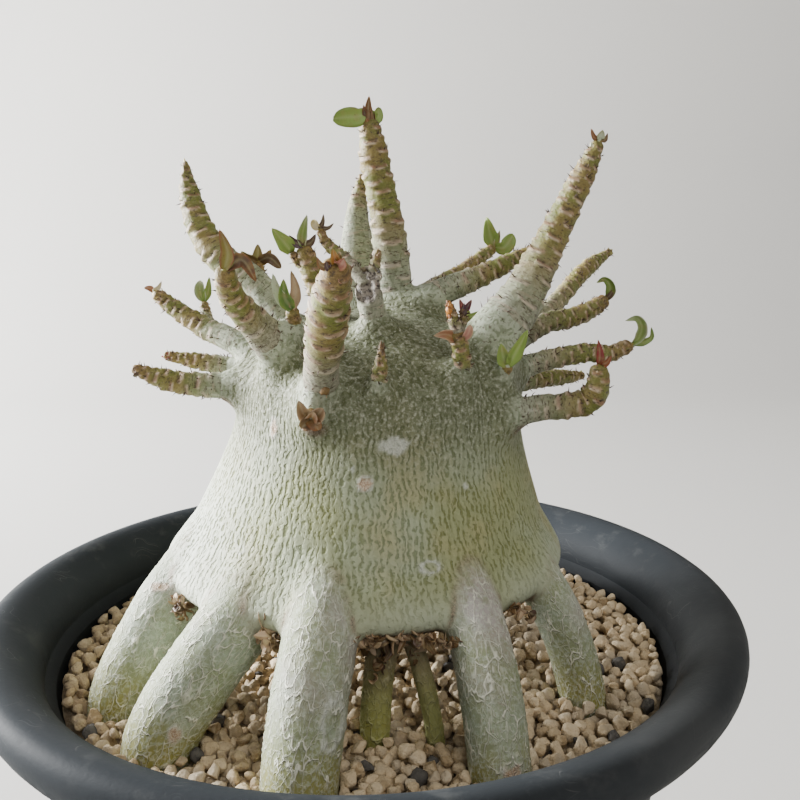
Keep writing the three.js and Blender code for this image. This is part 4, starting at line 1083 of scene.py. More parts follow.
# Bud at the end of a stem, or of shoot number n: where, length, radius, tint of its scales, slot,
# leaves as (points, half width, tint, margin, fold, rounded)
TIPS = {
    "tip_mid_tall": ("mid_tall", 8, 1.9, ("brown", "rust", "brown"), "leaf_green", [
        ([(1, 4, 286.5), (-3, 2, 286), (-6.6, 0, 285.5)], 2.8, "fresh", "green", 0.12, True),
        ([(5.5, 7, 286), (6.3, 9, 289.3)], 1.5, "fresh", "green", 0.2, True),
        ([(3.0, 4.4, 288), (3.4, 4.2, 291.9)], 1.0, "brown", "rust", 0.9, False),
        ([(2.2, 4.4, 287), (1.8, 4.2, 289.6)], 0.8, "umber", "rust", 0.7, False)]),
    "twig_tip_left_tall": (0, 2, 1.6, ("olive", "brown", "olive"), "leaf_brown", [
        ([(-33.5, 20, 247), (-35.4, 20, 249)], 1.7, "brown", "olive", 0.5, False),
        ([(-30.5, 21, 248.5), (-30.5, 21.5, 251)], 1.7, "olive", "brown", 0.5, False),
        ([(-28, 20, 247), (-26.5, 20, 249.4)], 1.7, "olive", "rust", 0.4, False),
        ([(-27, 19, 247), (-23.5, 18.5, 244)], 1.6, "umber", "brown", 0.3, True)]),
    "tip_left_front": ("left_front", 2.4, 2, ("olive", "olive", "rust"), "leaf_green", [
        ([(-30.4, -46, 251.5), (-31, -46.5, 254.5), (-32, -47, 257.4)], 1.75, "olive", "red", 0.9, False),
        ([(-30.4, -45, 251), (-30.2, -45.6, 254)], 1.7, "olive", "green", 0.7, False),
        ([(-27.5, -44.5, 250.2), (-24.5, -42.5, 245)], 1.8, "umber", "rust", 0.5, False)]),
    "twig_tip_left_side": (1, 1.5, 1.2, ("brown", "pink", "brown"), "leaf_green", [
        ([(-47, 12, 238), (-46.7, 12.5, 241)], 1.6, "green", "pale", 0.3, True),
        ([(-44.5, 12, 238), (-44, 12, 242)], 1.3, "green", "fresh", 0.5, False)]),
    "tip_left_side": ("left_side", 2.6, 1.8, ("yellow", "cream", "olive"), "leaf_brown", [
        ([(-60.5, 9.5, 239), (-62.7, 10, 239.3)], 1.0, "rust", "brown", 0.6, False),
        ([(-58, 8.5, 239.5), (-57.2, 8.5, 241.2)], 0.9, "cream", "cream", 0.6, False)]),
    "tip_front": ("front", 2.4, 2.4, ("olive", "orange", "pink"), "leaf_green", [
        ([(-3.7, -74, 250.8), (-3.0, -75, 252)], 1.25, "pink", "rust", 0.9, True),
        ([(-5, -73.5, 252), (-5.4, -73.8, 254)], 1.15, "orange", "olive", 0.8, False),
        ([(-4.4, -73.2, 251), (-4.0, -73.4, 253)], 1.0, "olive", "rust", 0.8, False),
        ([(-6.4, -74.2, 250), (-6.8, -74.6, 251.6)], 0.9, "plum", "plum", 0.6, False),
        ([(-7.6, -73.4, 250.4), (-8.6, -73.8, 252)], 1.2, "brown", "rust", 0.6, False)]),
    "tip_front_brown": ("front_brown", 1.6, 2.2, ("brown", "rust", "umber"), "leaf_brown", [
        ([(-13.6, -49, 214), (-14.9, -49.5, 217.4)], 1.9, "brown", "tan", 0.6, False),
        ([(-10.4, -49.6, 214), (-9.2, -50, 215.6)], 1.8, "brown", "tan", 0.8, True),
        ([(-11.6, -50, 213.6), (-11.2, -50.6, 214.8)], 1.5, "rust", "tan", 0.9, True),
        ([(-13.4, -49.6, 211.6), (-14.4, -49.8, 210.6)], 1.7, "umber", "brown", 0.8, True),
        ([(-10.8, -49.8, 211.4), (-10.2, -50, 210.2)], 1.7, "brown", "rust", 0.8, True)]),
    "twig_tip_cut": (2, 1.5, 1.1, ("olive", "cream", "umber"), "leaf_brown", [
        ([(-11.3, -15, 257), (-12, -15, 258.8)], 1.1, "cream", "yellow", 0.8, True),
        ([(-9.5, -15, 258), (-9.2, -15, 260.2)], 0.7, "umber", "plum", 0.6, False),
        ([(-8, -15, 256.6), (-6.6, -15, 257.8)], 0.7, "umber", "brown", 0.6, False)]),
    "twig_tip_mid_left": (4, 1, 1, ("brown", "plum", "umber"), "leaf_green", [
        ([(-19.0, -14.5, 252), (-22.8, -15.5, 256.6)], 2.4, "green", "fresh", 0.25, False)]),
    "tip_mid_left": ("mid_left", 2, 1.9, ("olive", "umber", "plum"), "leaf_green", [
        ([(-15, -14, 254.5), (-13.6, -14, 260)], 1.5, "green", "pale", 0.8, False),
        ([(-17, -14.5, 253), (-18.4, -15, 254.8)], 1.2, "plum", "umber", 0.5, False),
        ([(-12.6, -14.5, 253), (-11.4, -15, 255)], 1.2, "umber", "plum", 0.5, False)]),
    "tip_left_short": ("left_short", 1.2, 1.5, ("olive", "orange", "brown"), "leaf_green", [
        ([(-20.3, -31, 241), (-21.5, -32, 246)], 1.7, "pale", "pale", 0.6, False),
        ([(-18.7, -31.5, 240), (-18.9, -32, 244.6)], 1.9, "dark", "fresh", 0.6, False),
        ([(-16, -31, 241.5), (-17, -31, 246.6)], 1.6, "tan", "brown", 0.7, False)]),
    "tip_right_behind": ("right_behind", 2.2, 1.4, ("olive", "brown", "olive"), "leaf_green", [
        ([(40.8, 27.8, 252.5), (39.6, 28, 258.4)], 2.6, "green", "fresh", 0.2, False),
        ([(45, 27.5, 249), (48.2, 29, 253)], 2.3, "green", "fresh", 0.2, True),
        ([(43, 28, 251.5), (43.7, 28, 254.4)], 1.0, "olive", "pale", 0.6, False)]),
    "tip_right_tall": ("right_tall", 2.8, 1.4, ("pale", "olive", "brown"), "leaf_brown", [
        ([(64.6, -10, 279), (65.4, -10, 281.6)], 1.2, "pale", "olive", 0.7, False),
        ([(63.2, -10, 279.6), (62.2, -10, 282)], 0.8, "rust", "umber", 0.5, False),
        ([(66, -10, 279), (66.6, -10.5, 280.8)], 0.7, "brown", "umber", 0.5, False)]),
    "tip_right_side": ("right_side", 1.5, 1.7, ("umber", "brown", "umber"), "leaf_green", [
        ([(74.8, 12.5, 236), (74.4, 12, 238.8), (72.6, 11.7, 240.2), (70.6, 11.5, 239.2)], 1.6,
         "green", "dark", 0.7, False),
        ([(75.2, 12, 236), (76, 12, 237.6)], 1.0, "umber", "brown", 0.5, False)]),
    "tip_right_long": ("right_long", 2.4, 1.7, ("olive", "green", "brown"), "leaf_green", [
        ([(79, -5, 225), (79.4, -6, 228.4), (77.6, -6.8, 230.7), (74.2, -8, 230.2)], 1.7,
         "green", "pale", 0.7, False),
        ([(81, -4, 223.6), (83.2, -3.4, 224.8), (83.2, -3, 227.6)], 1.1, "green", "dark", 0.6, False)]),
    "tip_right_hook": ("right_hook", 2.2, 2, ("olive", "red", "tan"), "leaf_brown", [
        ([(61, -32.5, 224), (60.3, -33, 228.6)], 1.1, "red", "red", 0.8, False),
        ([(62.6, -33, 222.6), (63.8, -33.4, 224.6)], 1.0, "rust", "red", 0.6, False)]),
    "tip_right_leafy": ("right_leafy", 1.4, 1.5, ("orange", "rust", "brown"), "leaf_green", [
        ([(36.6, -30.5, 223.6), (35.8, -31, 227.6)], 2.0, "green", "fresh", 0.5, False),
        ([(39.6, -30.5, 225), (42.6, -31, 231)], 2.0, "fresh", "green", 0.6, False)]),
    "tip_back_mid": ("back_mid", 1.6, 1.4, ("olive", "brown", "olive"), "leaf_green", [
        ([(-10, 69, 228), (-11, 72, 228)], 1.6, "green", "fresh", 0.3, False),
        ([(-6, 69, 228), (-4, 71, 227.5)], 1.4, "green", "fresh", 0.3, False)]),
    "tip_back_far_right": ("back_far_right", 1.4, 1.4, ("olive", "brown", "olive"), "leaf_green", [
        ([(37, 58, 226), (37, 60, 227)], 1.6, "green", "fresh", 0.3, False),
        ([(40, 56, 225), (42, 57, 226)], 1.3, "green", "fresh", 0.3, False)]),
}

# Ends that carry only a few dry scales: stem or shoot number, radius, tints
SCALY = [
    ("left_tall", 0.8, ("yellow", "umber")), ("left_low_front", 1.9, ("olive", "brown", "umber")),
    ("left_low_back", 1.4, ("red", "umber")), ("front_thin", 0.8, ("brown", "umber")),
    ("right_inner", 1.5, ("umber", "brown")), ("right_back", 1.3, ("umber", "olive")),
    ("right_low", 1.4, ("brown", "olive")), (3, 1.0, ("brown", "tan")), (5, 1.1, ("orange", "rust")),
    (6, 1.0, ("umber", "plum")), ("back_left", 1.6, ("olive", "umber")),
    ("back_right", 1.4, ("olive", "umber")), ("back_low", 1.4, ("olive", "umber")),
]

# Where dry papery skin gathers under the trunk's edge: from, to, flakes
CROTCHES = [
    ((-49.5, -32, 163), (-47, -36, 157), 22), ((-26, -52, 166), (-22, -56, 158), 26),
    ((-5, -59, 162), (22, -59, 160.5), 80), ((0, -54, 158), (6, -54, 160), 34),
    ((4.6, -54.2, 158), (3.6, -55.4, 151), 26), ((11.2, -53.8, 158), (12.6, -55, 153), 8),
    ((37, -49, 164), (42, -45, 160), 18), ((50, 10, 163), (48, 16, 162), 8),
    ((-5, 52, 163), (3, 52, 162), 10),
]

# Leaves and buds on the sides of stems
SIDE_LEAVES = [
    ([(24.6, -36, 229.4), (21.5, -37.5, 231), (18, -39, 231)], 1.7, "rust", "tan", 0.5, False),
    ([(25.5, -36.4, 229.5), (26.6, -37.4, 231.2), (27.2, -37.8, 233.4)], 1.1, "pink", "tan", 0.6, True),
    ([(25.8, -36, 236.5), (27.6, -36.2, 239.4)], 0.9, "plum", "red", 0.6, False),
    ([(25.6, -36, 236.5), (24.6, -36.2, 239.6)], 0.8, "red", "umber", 0.6, False),
    ([(4.9, -44.4, 227), (5.6, -44.6, 230.4)], 0.6, "brown", "umber", 0.6, False),
    ([(44.5, -13, 238), (43.0, -17.8, 240.2)], 0.7, "umber", "plum", 0.5, False),
]
SIDE_BUDS = [
    ((-8.9, -45.0, 219.0), (0.1, -0.8, 0.3), 1.5, ("brown", "tan", "yellow")),
    ((22.2, -36.6, 236.8), (-0.2, -0.1, 1.0), 1.1, ("orange", "rust", "olive")),
    ((-2.6, -37.0, 247.4), (0.3, -0.9, 0.2), 0.9, ("brown", "umber")),
]


def blade(leaves, points, wide, tint, margin, fold, rounded, thick=0.32, turn=0.0):
    """A closed thin leaf along points, rounded or pointed, folded along its middle."""
    line, at = spline(points, max(0.3, np.linalg.norm(np.subtract(points[-1], points[0])) / 12))
    f = at / at[-1]
    heading, _, _ = frames(line)
    side = unit(np.cross(heading, (0.0, 1.0, 0.0)))
    face = np.cross(side, heading)
    c, s = math.cos(turn), math.sin(turn)
    side, face = side * c + face * s, face * c - side * s
    if rounded:
        outline = np.sqrt(np.maximum(1 - 0.96 * (2 * f - 1) ** 2, 0.02))
    else:
        outline = np.minimum(1, 0.35 + 2.1 * f) * np.maximum(1 - f, 0.004) ** 0.62 * 1.25
    x = np.linspace(-1, 1, 7)
    wave = rng.uniform(0, 6)
    cup = fold * np.abs(x)[None, :] ** 1.3 * outline[:, None] * wide
    cup = cup + 0.12 * wide * np.sin(5 * f[:, None] + wave) * x[None, :]
    middle = (line[:, None] + side[:, None] * (x[None, :] * outline[:, None] * wide)[:, :, None]
              + face[:, None] * cup[:, :, None])
    half = thick * 0.5 * (0.25 + 0.75 * (1 - x ** 2))[None, :, None] * np.minimum(1, outline)[:, None, None]
    top = (middle + face[:, None] * half).reshape(-1, 3)
    low = (middle - face[:, None] * half).reshape(-1, 3)
    n, m = len(line), len(x)
    faces = []
    for i in range(n - 1):
        for j in range(m - 1):
            a = i * m + j
            faces.append((a, a + 1, a + m + 1, a + m))
            b = a + n * m
            faces.append((b, b + m, b + m + 1, b + 1))
    ring = [j for j in range(m)] + [i * m + m - 1 for i in range(1, n)]
    ring += [(n - 1) * m + j for j in range(m - 2, -1, -1)] + [i * m for i in range(n - 2, 0, -1)]
    for a, b in zip(ring, ring[1:] + ring[:1]):
        faces.append((b, a, a + n * m, b + n * m))
    edge = np.tile((np.abs(x) ** 3)[None, :] * np.ones((n, 1)), (2, 1)).ravel()
    edge = np.maximum(edge, np.tile(np.repeat(f, m) ** 4, 2))
    rib = np.tile(np.exp(-(x / 0.16) ** 2)[None, :] * np.ones((n, 1)), (2, 1)).ravel()
    leaves.add(np.vstack([top, low]), faces, tint=np.tile(TINT[tint], (2 * n * m, 1)),
               margin=np.tile(TINT[margin], (2 * n * m, 1)), edge=edge, rib=rib)


def scales(leaves, end, heading, radius, length, tints, count):
    """Small pointed scales round a tip, the lower ones shorter and turned out."""
    across, side = axes_across(heading)
    for i in range(count):
        a = i * GOLDEN + rng.normal() * 0.2
        out = across * math.cos(a) + side * math.sin(a)
        low = 1 - i / count
        foot = end - heading * (0.6 + 1.4 * low) + out * radius * (0.45 + 0.5 * low)
        lean = (0.12 + 0.5 * low) * rng.uniform(0.3, 1.3)
        tall = length * rng.uniform(0.7, 1.15) * (1 - 0.35 * low)
        knee = foot + heading * tall * 0.5 + out * radius * 0.3 * lean
        peak = foot + heading * tall + out * radius * (lean - 0.35 * (1 - low))
        turn = math.atan2(float(np.cross(heading, (0, 1, 0)) @ out), float(-out[1])) + math.pi
        blade(leaves, [foot, knee, peak], radius * rng.uniform(0.42, 0.62) + 0.15,
              tints[rng.integers(len(tints))], tints[rng.integers(len(tints))], -0.4, False, 0.4, turn)


def tip_of(where):
    """End and heading of a stem, or of shoot number where."""
    path = TWIGS[where][1] if isinstance(where, int) else STEMS[where][1]
    line, _ = spline(path, 0.5)
    return line[-1], unit(line[-1] - line[-3])


BUD_SIDES = 14
BUD_PROFILE = [(-1.2, 0.75), (0.0, 0.95), (0.3, 0.9), (0.6, 0.66), (0.85, 0.36), (0.98, 0.12)]


def bud_core(leaves, end, heading, radius, length, tint):
    """Lobed body of a bud: rings at fractions of its length, or millimetres below its foot."""
    across, side = axes_across(heading)
    theta = 2 * np.pi * np.arange(BUD_SIDES) / BUD_SIDES
    points = []
    for far, wide in BUD_PROFILE:
        r = (radius * wide * (1 + 0.12 * np.cos(5 * theta + far * 4)))[:, None]
        centre = end + heading * (far * length if far > 0 else far)
        points.append(centre + np.cos(theta)[:, None] * across * r + np.sin(theta)[:, None] * side * r)
    points = np.vstack(points + [end + heading * length, end + heading * BUD_PROFILE[0][0]])
    colour = np.tile(TINT[tint], (len(points), 1))
    plain = np.zeros(len(points))
    faces = sleeve(len(BUD_PROFILE), BUD_SIDES)
    leaves.add(points, faces, tint=colour, margin=colour, edge=plain, rib=plain)


def make_leaf_material(name):
    """Tinted by the leaf's own colours, with a margin, a paler rib, blotches and dark spots."""
    material, g, shader = new_material(name)
    place = millimetres(g)
    tint, margin = g.field("tint", "Color"), g.field("margin", "Color")
    patch = g.noise(place, 0.45, 3.0)
    colour = g.mix(g.times(g.field("edge"), g.step(patch, 0.3, 0.6, 0.5, 1.0)), tint, margin)
    colour = g.mix(g.step(patch, 0.45, 0.75), colour, g.mix(0.45, colour, (0.30, 0.22, 0.08)))
    colour = g.mix(g.times(g.field("rib"), 0.35), colour, g.mix(0.5, colour, (0.60, 0.58, 0.35)))
    spot = g.step(g.noise(place, 1.8, 2.0), 0.66, 0.74)
    colour = g.mix(g.times(spot, 0.5), colour, (0.07, 0.035, 0.02))
    g.put(shader.inputs["Base Color"], colour)
    g.put(shader.inputs["Roughness"], g.step(patch, 0.3, 0.7, 0.36, 0.58))
    shader.inputs["Specular IOR Level"].default_value = 0.45
    veins = g.noise(g.stretch(place, (1.6, 1.6, 0.6)), 1.0, 3.0)
    g.put(shader.inputs["Normal"], bump(g, g.plus(veins, g.field("rib")), 0.45, 0.25))
    return material


def make_tips():
    """Each bud as a piece of its own, then all dry scales, and the litter under the trunk."""
    green, brown = make_leaf_material("leaf_green"), make_leaf_material("leaf_brown")
    for name, (where, length, radius, tints, slot, blades) in TIPS.items():
        leaves = Batch()
        end, heading = tip_of(where)
        bud_core(leaves, end, heading, radius * 0.8, length * 0.8, tints[0])
        scales(leaves, end, heading, radius, length * 0.75 + 1.2, tints, 8)
        middle = end + heading * (0.3 + length * 0.5)
        for points, wide, tint, margin, fold, rounded in blades:
            blade(leaves, [middle] + points, wide, tint, margin, -fold, rounded)
        leaves.piece(name, slot, green if slot == "leaf_green" else brown, (name,))
    dry = Batch()
    for where, radius, tints in SCALY:
        end, heading = tip_of(where)
        scales(dry, end, heading, radius, 2.2, tints, 7)
    for points, wide, tint, margin, fold, rounded in SIDE_LEAVES:
        blade(dry, points, wide, tint, margin, -fold, rounded)
    for place, way, radius, tints in SIDE_BUDS:
        way = unit(np.array(way))
        bud_core(dry, np.array(place), way, radius, radius * 1.6, tints[0])
        scales(dry, np.array(place), way, radius, radius * 1.7, tints, 7)
    dry.piece("end_scales", "leaf_brown", brown)
    litter = Batch()
    for start, finish, count in CROTCHES:
        for _ in range(count):
            foot = np.array(start) + (np.array(finish) - start) * rng.random() + rng.normal(size=3) * 0.7
            way = unit(rng.normal(size=3) + (0.0, -0.9, -0.5))
            tall = rng.uniform(1.6, 4.2)
            knee = foot + way * tall * 0.55
            peak = knee + (way + rng.normal(size=3) * 0.6) * tall * 0.45
            tints = [("umber", "brown", "tan")[rng.integers(3)] for _ in range(2)]
            blade(litter, [foot, knee, peak], rng.uniform(0.5, 1.5), tints[0], tints[1],
                  rng.uniform(-0.9, 0.9), rng.random() < 0.5, 0.3, rng.uniform(0, 6.3))
    litter.piece("root_litter", "leaf_brown", brown)


make_tips()


# Gravel and pot

INNER_FLOOR, INNER_TOP = 5.6, 132.0
FLOOR_RADIUS, RIM_RADIUS, RIM_HEIGHT = 69.4, 88.7, 129.0
GRAVEL_TOP = 128.4
POT_SIDES = 224
LIP_RADIUS, LIP_HEIGHT, LIP_TILT = 101.0, 139.3, math.radians(46)
LIP_HALF_WIDTH, LIP_HALF_HEIGHT = 11.0, 6.8
OUTER_WALL = [(62, 0), (70.2, 0), (71.3, 0.4), (72, 1.5), (91.3, 129)]
FOOT_RADIUS, FOOT_RISE = 60.5, 3.0
HOLES_ROUND, HOLE_CIRCLE, HOLE_RADIUS, HOLE_SIDES = 6, 40.0, 5.0, 48


def inner_radius(height):
    """Radius of the pot's inside at a height."""
    return FLOOR_RADIUS + (RIM_RADIUS - FLOOR_RADIUS) * height / RIM_HEIGHT


def turned(profile, count):
    """Closed solid of revolution from (radius, height) points that start and end on the axis."""
    theta = 2 * np.pi * np.arange(count) / count
    rings = []
    for r, z in profile[1:-1]:
        rings.append(np.column_stack([r * np.cos(theta), r * np.sin(theta), np.full(count, z)]))
    ends = [(0, 0, profile[-1][1]), (0, 0, profile[0][1])]
    return np.vstack(rings + [ends]), sleeve(len(rings), count)


def ball(detail):
    shape = bmesh.new()
    bmesh.ops.create_icosphere(shape, subdivisions=detail, radius=1.0)
    points = np.array([v.co[:] for v in shape.verts])
    faces = [tuple(v.index for v in f.verts) for f in shape.faces]
    shape.free()
    return points, faces


STONE_DROPS, PLACES_TRIED = 4400, 12
STONE_FLOOR, STONE_CEILING = 128.2, 134.2
STONE_SIZES, STONE_SMALLEST, STONE_LARGEST = (0.60, 0.22), 1.3, 3.1
MAP_HALF, MAP_PITCH, MAP_HEIGHT = 92, 0.5, 130.5
FINE_FRONT_Y, FINE_HEIGHT = -40, 131.2


def settled_stones():
    """Stones dropped one by one where they come to lie lowest, as (x, y, z, radius)."""
    axis = np.arange(-MAP_HALF, MAP_HALF, MAP_PITCH)
    q = np.stack(np.meshgrid(axis, axis, indexing="ij"), -1).reshape(-1, 2)
    q = np.column_stack([q, np.full(len(q), MAP_HEIGHT)])
    clear = np.full(len(q), 1e9)
    for line, radii in root_rods():
        clear = np.minimum(clear, rod_distance(q, line, radii))
    clear = clear.reshape(len(axis), len(axis))
    placed = np.zeros((STONE_DROPS, 4))
    count = 0
    for _ in range(STONE_DROPS):
        r = float(np.clip(rng.lognormal(*STONE_SIZES), STONE_SMALLEST, STONE_LARGEST))
        reach = (inner_radius(130) - 0.5 - r) * np.sqrt(rng.random(PLACES_TRIED))
        turn = rng.uniform(0, 2 * np.pi, PLACES_TRIED)
        xy = np.column_stack([reach * np.cos(turn), reach * np.sin(turn)])
        at = ((xy + MAP_HALF) / MAP_PITCH).astype(int)
        free = clear[at[:, 0], at[:, 1]] > 0.72 * r
        if not free.any():
            continue
        xy = xy[free]
        other = placed[:count]
        gap = ((xy[:, None] - other[None, :, :2]) ** 2).sum(2)
        touch = ((other[:, 3] + r) * 0.92) ** 2
        rest = np.where(gap < touch, other[:, 2] + np.sqrt(np.maximum(touch - gap, 0)), 0)
        height = np.maximum(rest.max(1) if count else np.zeros(len(xy)), STONE_FLOOR + 0.5 * r)
        best = int(height.argmin())
        if height[best] + r > STONE_CEILING:
            continue
        placed[count] = (*xy[best], height[best], r)
        count += 1
    return placed[:count]


def make_gravel_material():
    """Tan porous pumice, with some grey brown and charcoal grains, and painted shadow of the pot's lip at
    the left.
    """
    material, g, shader = new_material("pumice_gravel")
    place = millimetres(g)
    tone, dark = g.field("tone"), g.field("dark")
    patch = g.noise(place, 0.55, 3.0)
    pores = g.cells(place, 1.5)
    stone = g.mix(tone, (0.33, 0.24, 0.135), (0.72, 0.60, 0.42))
    stone = g.mix(g.step(patch, 0.35, 0.7), stone, (0.60, 0.48, 0.31))
    stone = g.mix(g.step(pores, 0.0, 0.35, 0.45, 0.0), stone, (0.27, 0.18, 0.10))
    stone = g.mix(g.step(g.noise(place, 0.11, 1.0), 0.5, 0.62, 0.0, 0.4), stone, (0.34, 0.31, 0.26))
    across, _, _ = g.split(place)
    # Painted shadow: the grains at the left are painted darker where the pot's lip shades them.
    stone = g.mix(g.step(across, -78.0, -35.0, 0.5, 0.0), stone, (0.22, 0.15, 0.08))
    stone = g.mix(dark, stone, g.mix(patch, (0.045, 0.044, 0.043), (0.15, 0.14, 0.125)))
    g.put(shader.inputs["Base Color"], stone)
    g.put(shader.inputs["Roughness"], g.step(patch, 0.2, 0.8, 0.85, 0.98))
    shader.inputs["Specular IOR Level"].default_value = 0.2
    g.put(shader.inputs["Normal"], bump(g, g.plus(pores, g.noise(place, 2.2, 3.0)), 0.6, 0.35))
    return material


def make_gravel():
    """A turned bed, and on it the grains that show, in a front and a back half."""
    material = make_gravel_material()
    low = INNER_FLOOR + 0.3
    bed = [(0, low)] + [(inner_radius(h) - 0.6, h) for h in (low, GRAVEL_TOP)] + [(0, GRAVEL_TOP)]
    points, faces = turned(bed, 96)
    body = Batch()
    # Painted shade: the bed is tinted towards charcoal, standing for the shaded gaps between grains.
    body.add(points, faces, tone=np.zeros(len(points)), dark=np.full(len(points), 0.4))
    body.piece("gravel_bed", "pumice_gravel", material, ("gravel",))
    kinds = {True: ball(3), False: ball(2)}
    batches = {"gravel_front": Batch(), "gravel_back": Batch()}
    for x, y, z, r in settled_stones():
        points, faces = kinds[y < FINE_FRONT_Y and z > FINE_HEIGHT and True]
        p = points * rng.uniform(0.78, 1.28, 3)
        for _ in range(9):
            n = unit(rng.normal(size=3))
            p = p - n * np.maximum(p @ n - rng.uniform(0.5, 0.85), 0)[:, None] * 0.95
        shift = rng.uniform(0, 90, 3)
        p = p * (1 + 0.16 * noise(p * 1.1 + shift) + 0.05 * noise(p * 3.2 + shift))[:, None]
        turn = np.linalg.qr(rng.normal(size=(3, 3)))[0]
        turn = turn * np.sign(np.linalg.det(turn))
        p = (p @ turn.T) * r * 1.2 + (x, y, z)
        tone = np.clip(rng.normal(0.5, 0.38), 0, 1)
        dark = 1.0 if rng.random() < 0.035 else 0.0
        batches["gravel_front" if y < 0 else "gravel_back"].add(
            p, faces, tone=np.full(len(p), tone), dark=np.full(len(p), dark))
    for name, batch in batches.items():
        batch.piece(name, "pumice_gravel", material)


def lip_point(degrees):
    """Radius and height of a point on the rolled lip's tilted oval."""
    a = math.radians(degrees)
    c, s = LIP_HALF_WIDTH * math.cos(a), LIP_HALF_HEIGHT * math.sin(a)
    return (LIP_RADIUS + c * math.cos(LIP_TILT) - s * math.sin(LIP_TILT),
            LIP_HEIGHT + c * math.sin(LIP_TILT) + s * math.cos(LIP_TILT))


def make_pot_material():
    """Charcoal plastic, dusty on top, scratched, paler on the right front from dust and painted sheen, with
    painted shade inside.
    """
    material, g, shader = new_material("pot_plastic")
    place = millimetres(g)
    x, y, z = g.split(place)
    _, _, up = g.split(g.node("ShaderNodeNewGeometry").outputs["Normal"])
    cloud = g.noise(place, 0.03, 4.0, 0.6)
    dust = g.step(g.noise(place, 0.09, 5.0, 0.65), 0.52, 0.72)
    bent = g.vector("ADD", place, g.stretch(g.noise(place, 0.05, 2.0, colour=True), (22.0, 22.0, 22.0)))
    cracks = g.cells(g.stretch(bent, (0.1, 0.1, 1.0)), 0.35, "DISTANCE_TO_EDGE")
    scratch = g.times(g.step(cracks, 0.0, 0.012, 1.0, 0.0), g.step(g.noise(place, 0.06, 2.0), 0.55, 0.62))
    # The pot's right front, painted paler as dust and as painted sheen.
    worn = g.times(g.step(x, 0.0, 90.0), g.step(y, -30.0, 40.0, 1.0, 0.0))
    radius = g.length(g.stretch(place, (1.0, 1.0, 0.0)))
    # Mask of the inside wall under the rim, for painted shade.
    inside_shade = g.times(g.step(radius, 88.0, 96.0, 1.0, 0.0), g.step(z, 126.0, 130.0))
    colour = g.mix(cloud, (0.017, 0.020, 0.023), (0.028, 0.032, 0.036))
    colour = g.mix(g.times(dust, g.step(up, 0.1, 0.9, 0.1, 0.5)), colour, (0.07, 0.073, 0.073))
    colour = g.mix(g.times(scratch, 0.3), colour, (0.14, 0.14, 0.135))
    # Dust and painted sheen: the right front is painted paler.
    colour = g.mix(g.times(worn, g.step(cloud, 0.3, 0.7, 0.4, 0.9)), colour, (0.058, 0.061, 0.062))
    # Painted shade: the inside wall under the rim is painted near black.
    colour = g.mix(inside_shade, colour, (0.009, 0.010, 0.011))
    g.put(shader.inputs["Base Color"], colour)
    g.put(shader.inputs["Roughness"], g.plus(0.56, g.times(dust, 0.2)))
    shader.inputs["Specular IOR Level"].default_value = 0.04
    relief = g.plus(g.noise(place, 0.8, 4.0, 0.6), g.times(scratch, -0.6))
    g.put(shader.inputs["Normal"], bump(g, relief, 0.22, 0.3))
    return material


def make_pot():
    """Turned pot with a foot ring and a rolled lip, its drain holes cut out."""
    material = make_pot_material()
    profile = [(0, FOOT_RISE), (FOOT_RADIUS, FOOT_RISE)] + OUTER_WALL
    profile += [lip_point(a) for a in range(-150, 151, 10)]
    profile += [(inner_radius(h), h) for h in (INNER_TOP, INNER_FLOOR)] + [(0, INNER_FLOOR)]
    pot = make_piece("pot", *turned(profile, POT_SIDES), "pot_plastic", material, ("pot",))
    places = [2 * math.pi * i / HOLES_ROUND for i in range(HOLES_ROUND)]
    places = [(HOLE_CIRCLE * math.cos(a), HOLE_CIRCLE * math.sin(a)) for a in places] + [(0.0, 0.0)]
    low, high = FOOT_RISE - 1.5, INNER_FLOOR + 1.4
    cutter = Batch()
    for x, y in places:
        hole = [(0, low), (HOLE_RADIUS, low), (HOLE_RADIUS, high), (0, high)]
        points, faces = turned(hole, HOLE_SIDES)
        cutter.add(points + (x, y, 0), faces)
    holes = cutter.piece("holes", "pot_plastic", material)
    modifier = pot.modifiers.new("holes", "BOOLEAN")
    modifier.operation, modifier.solver, modifier.object = "DIFFERENCE", "EXACT", holes
    result = bpy.data.meshes.new_from_object(pot.evaluated_get(bpy.context.evaluated_depsgraph_get()))
    pot.modifiers.clear()
    pot.data = result
    result.set_sharp_from_angle(angle=math.radians(32))
    bpy.data.objects.remove(holes)


make_gravel()
make_pot()


# Stage and light

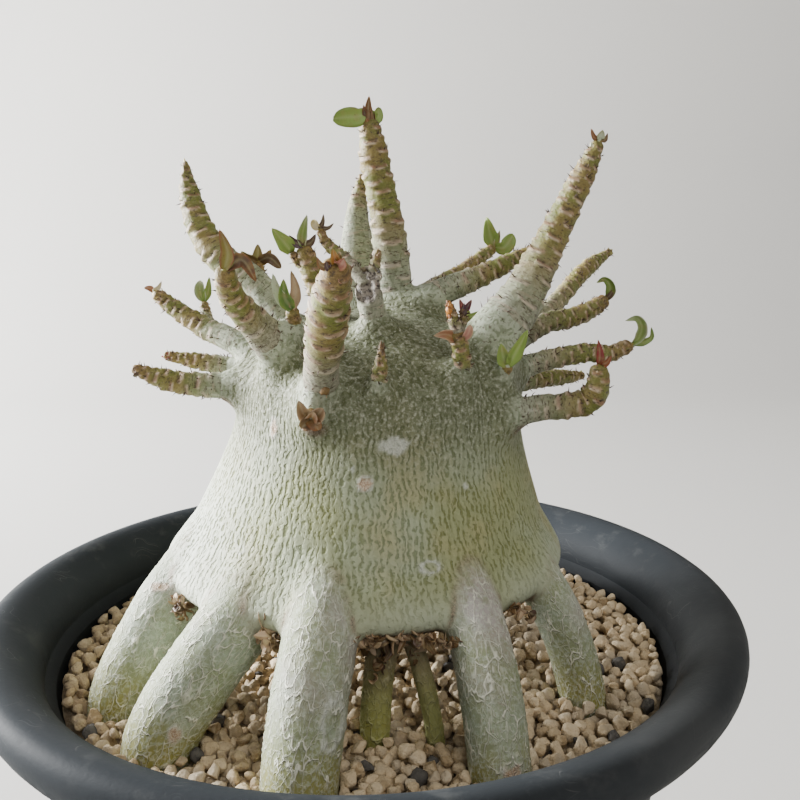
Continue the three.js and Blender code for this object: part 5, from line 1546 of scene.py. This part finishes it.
def flat_material(name, colour, roughness):
    material, g, shader = new_material(name)
    place = millimetres(g)
    faint = [c * 0.97 for c in colour]
    g.put(shader.inputs["Base Color"], g.mix(g.noise(place, 0.004, 3.0), colour, faint))
    shader.inputs["Roughness"].default_value = roughness
    return material


def make_stage():
    """A grey floor that curves up into a wall, with no edge between them. Sizes are in metres."""
    width, front, back, radius, top = 3.2, -2.2, 1.5, 0.5, 2.8
    bends = 12
    line = [(front, 0.0), (back - radius, 0.0)]
    for i in range(1, bends + 1):
        a = math.pi / 2 * i / bends
        line.append((back - radius + radius * math.sin(a), radius - radius * math.cos(a)))
    line.append((back, top))
    verts, faces = [], []
    for y, z in line:
        verts += [(-width, y, z), (width, y, z)]
    for i in range(len(line) - 1):
        faces.append((2 * i, 2 * i + 1, 2 * i + 3, 2 * i + 2))
    mesh = bpy.data.meshes.new("backdrop")
    mesh.from_pydata(verts, [], faces)
    mesh.materials.append(flat_material("backdrop", (0.490, 0.481, 0.458), 0.9))
    mesh.polygons.foreach_set("use_smooth", np.ones(len(faces), bool))
    backdrop = bpy.data.objects.new("backdrop", mesh)
    bpy.context.scene.collection.objects.link(backdrop)


def area_light(name, place, target, size, power, colour):
    """A rectangular lamp that faces a target. Places and sizes are in metres."""
    data = bpy.data.lights.new(name, "AREA")
    data.shape = "RECTANGLE"
    data.size, data.size_y = size
    data.energy = power
    data.color = colour
    lamp = bpy.data.objects.new(name, data)
    lamp.location = place
    lamp.rotation_euler = (Vector(target) - Vector(place)).to_track_quat("-Z", "Y").to_euler()
    bpy.context.scene.collection.objects.link(lamp)


make_stage()
area_light("window", place=(-1.5, 0.56, 0.60), target=(0.0, 0.0, 0.19), size=(0.9, 1.0),
           power=238.0, colour=(1.0, 1.0, 1.0))
area_light("room", place=(0.5, -1.1, 1.5), target=(0.0, 0.0, 0.18), size=(1.6, 1.6),
           power=17.0, colour=(1.0, 0.95, 0.88))
world = bpy.data.worlds.new("world")
world.use_nodes = True
world.node_tree.nodes["Background"].inputs["Color"].default_value = (1.0, 1.0, 1.0, 1.0)
world.node_tree.nodes["Background"].inputs["Strength"].default_value = 0.26
bpy.context.scene.world = world
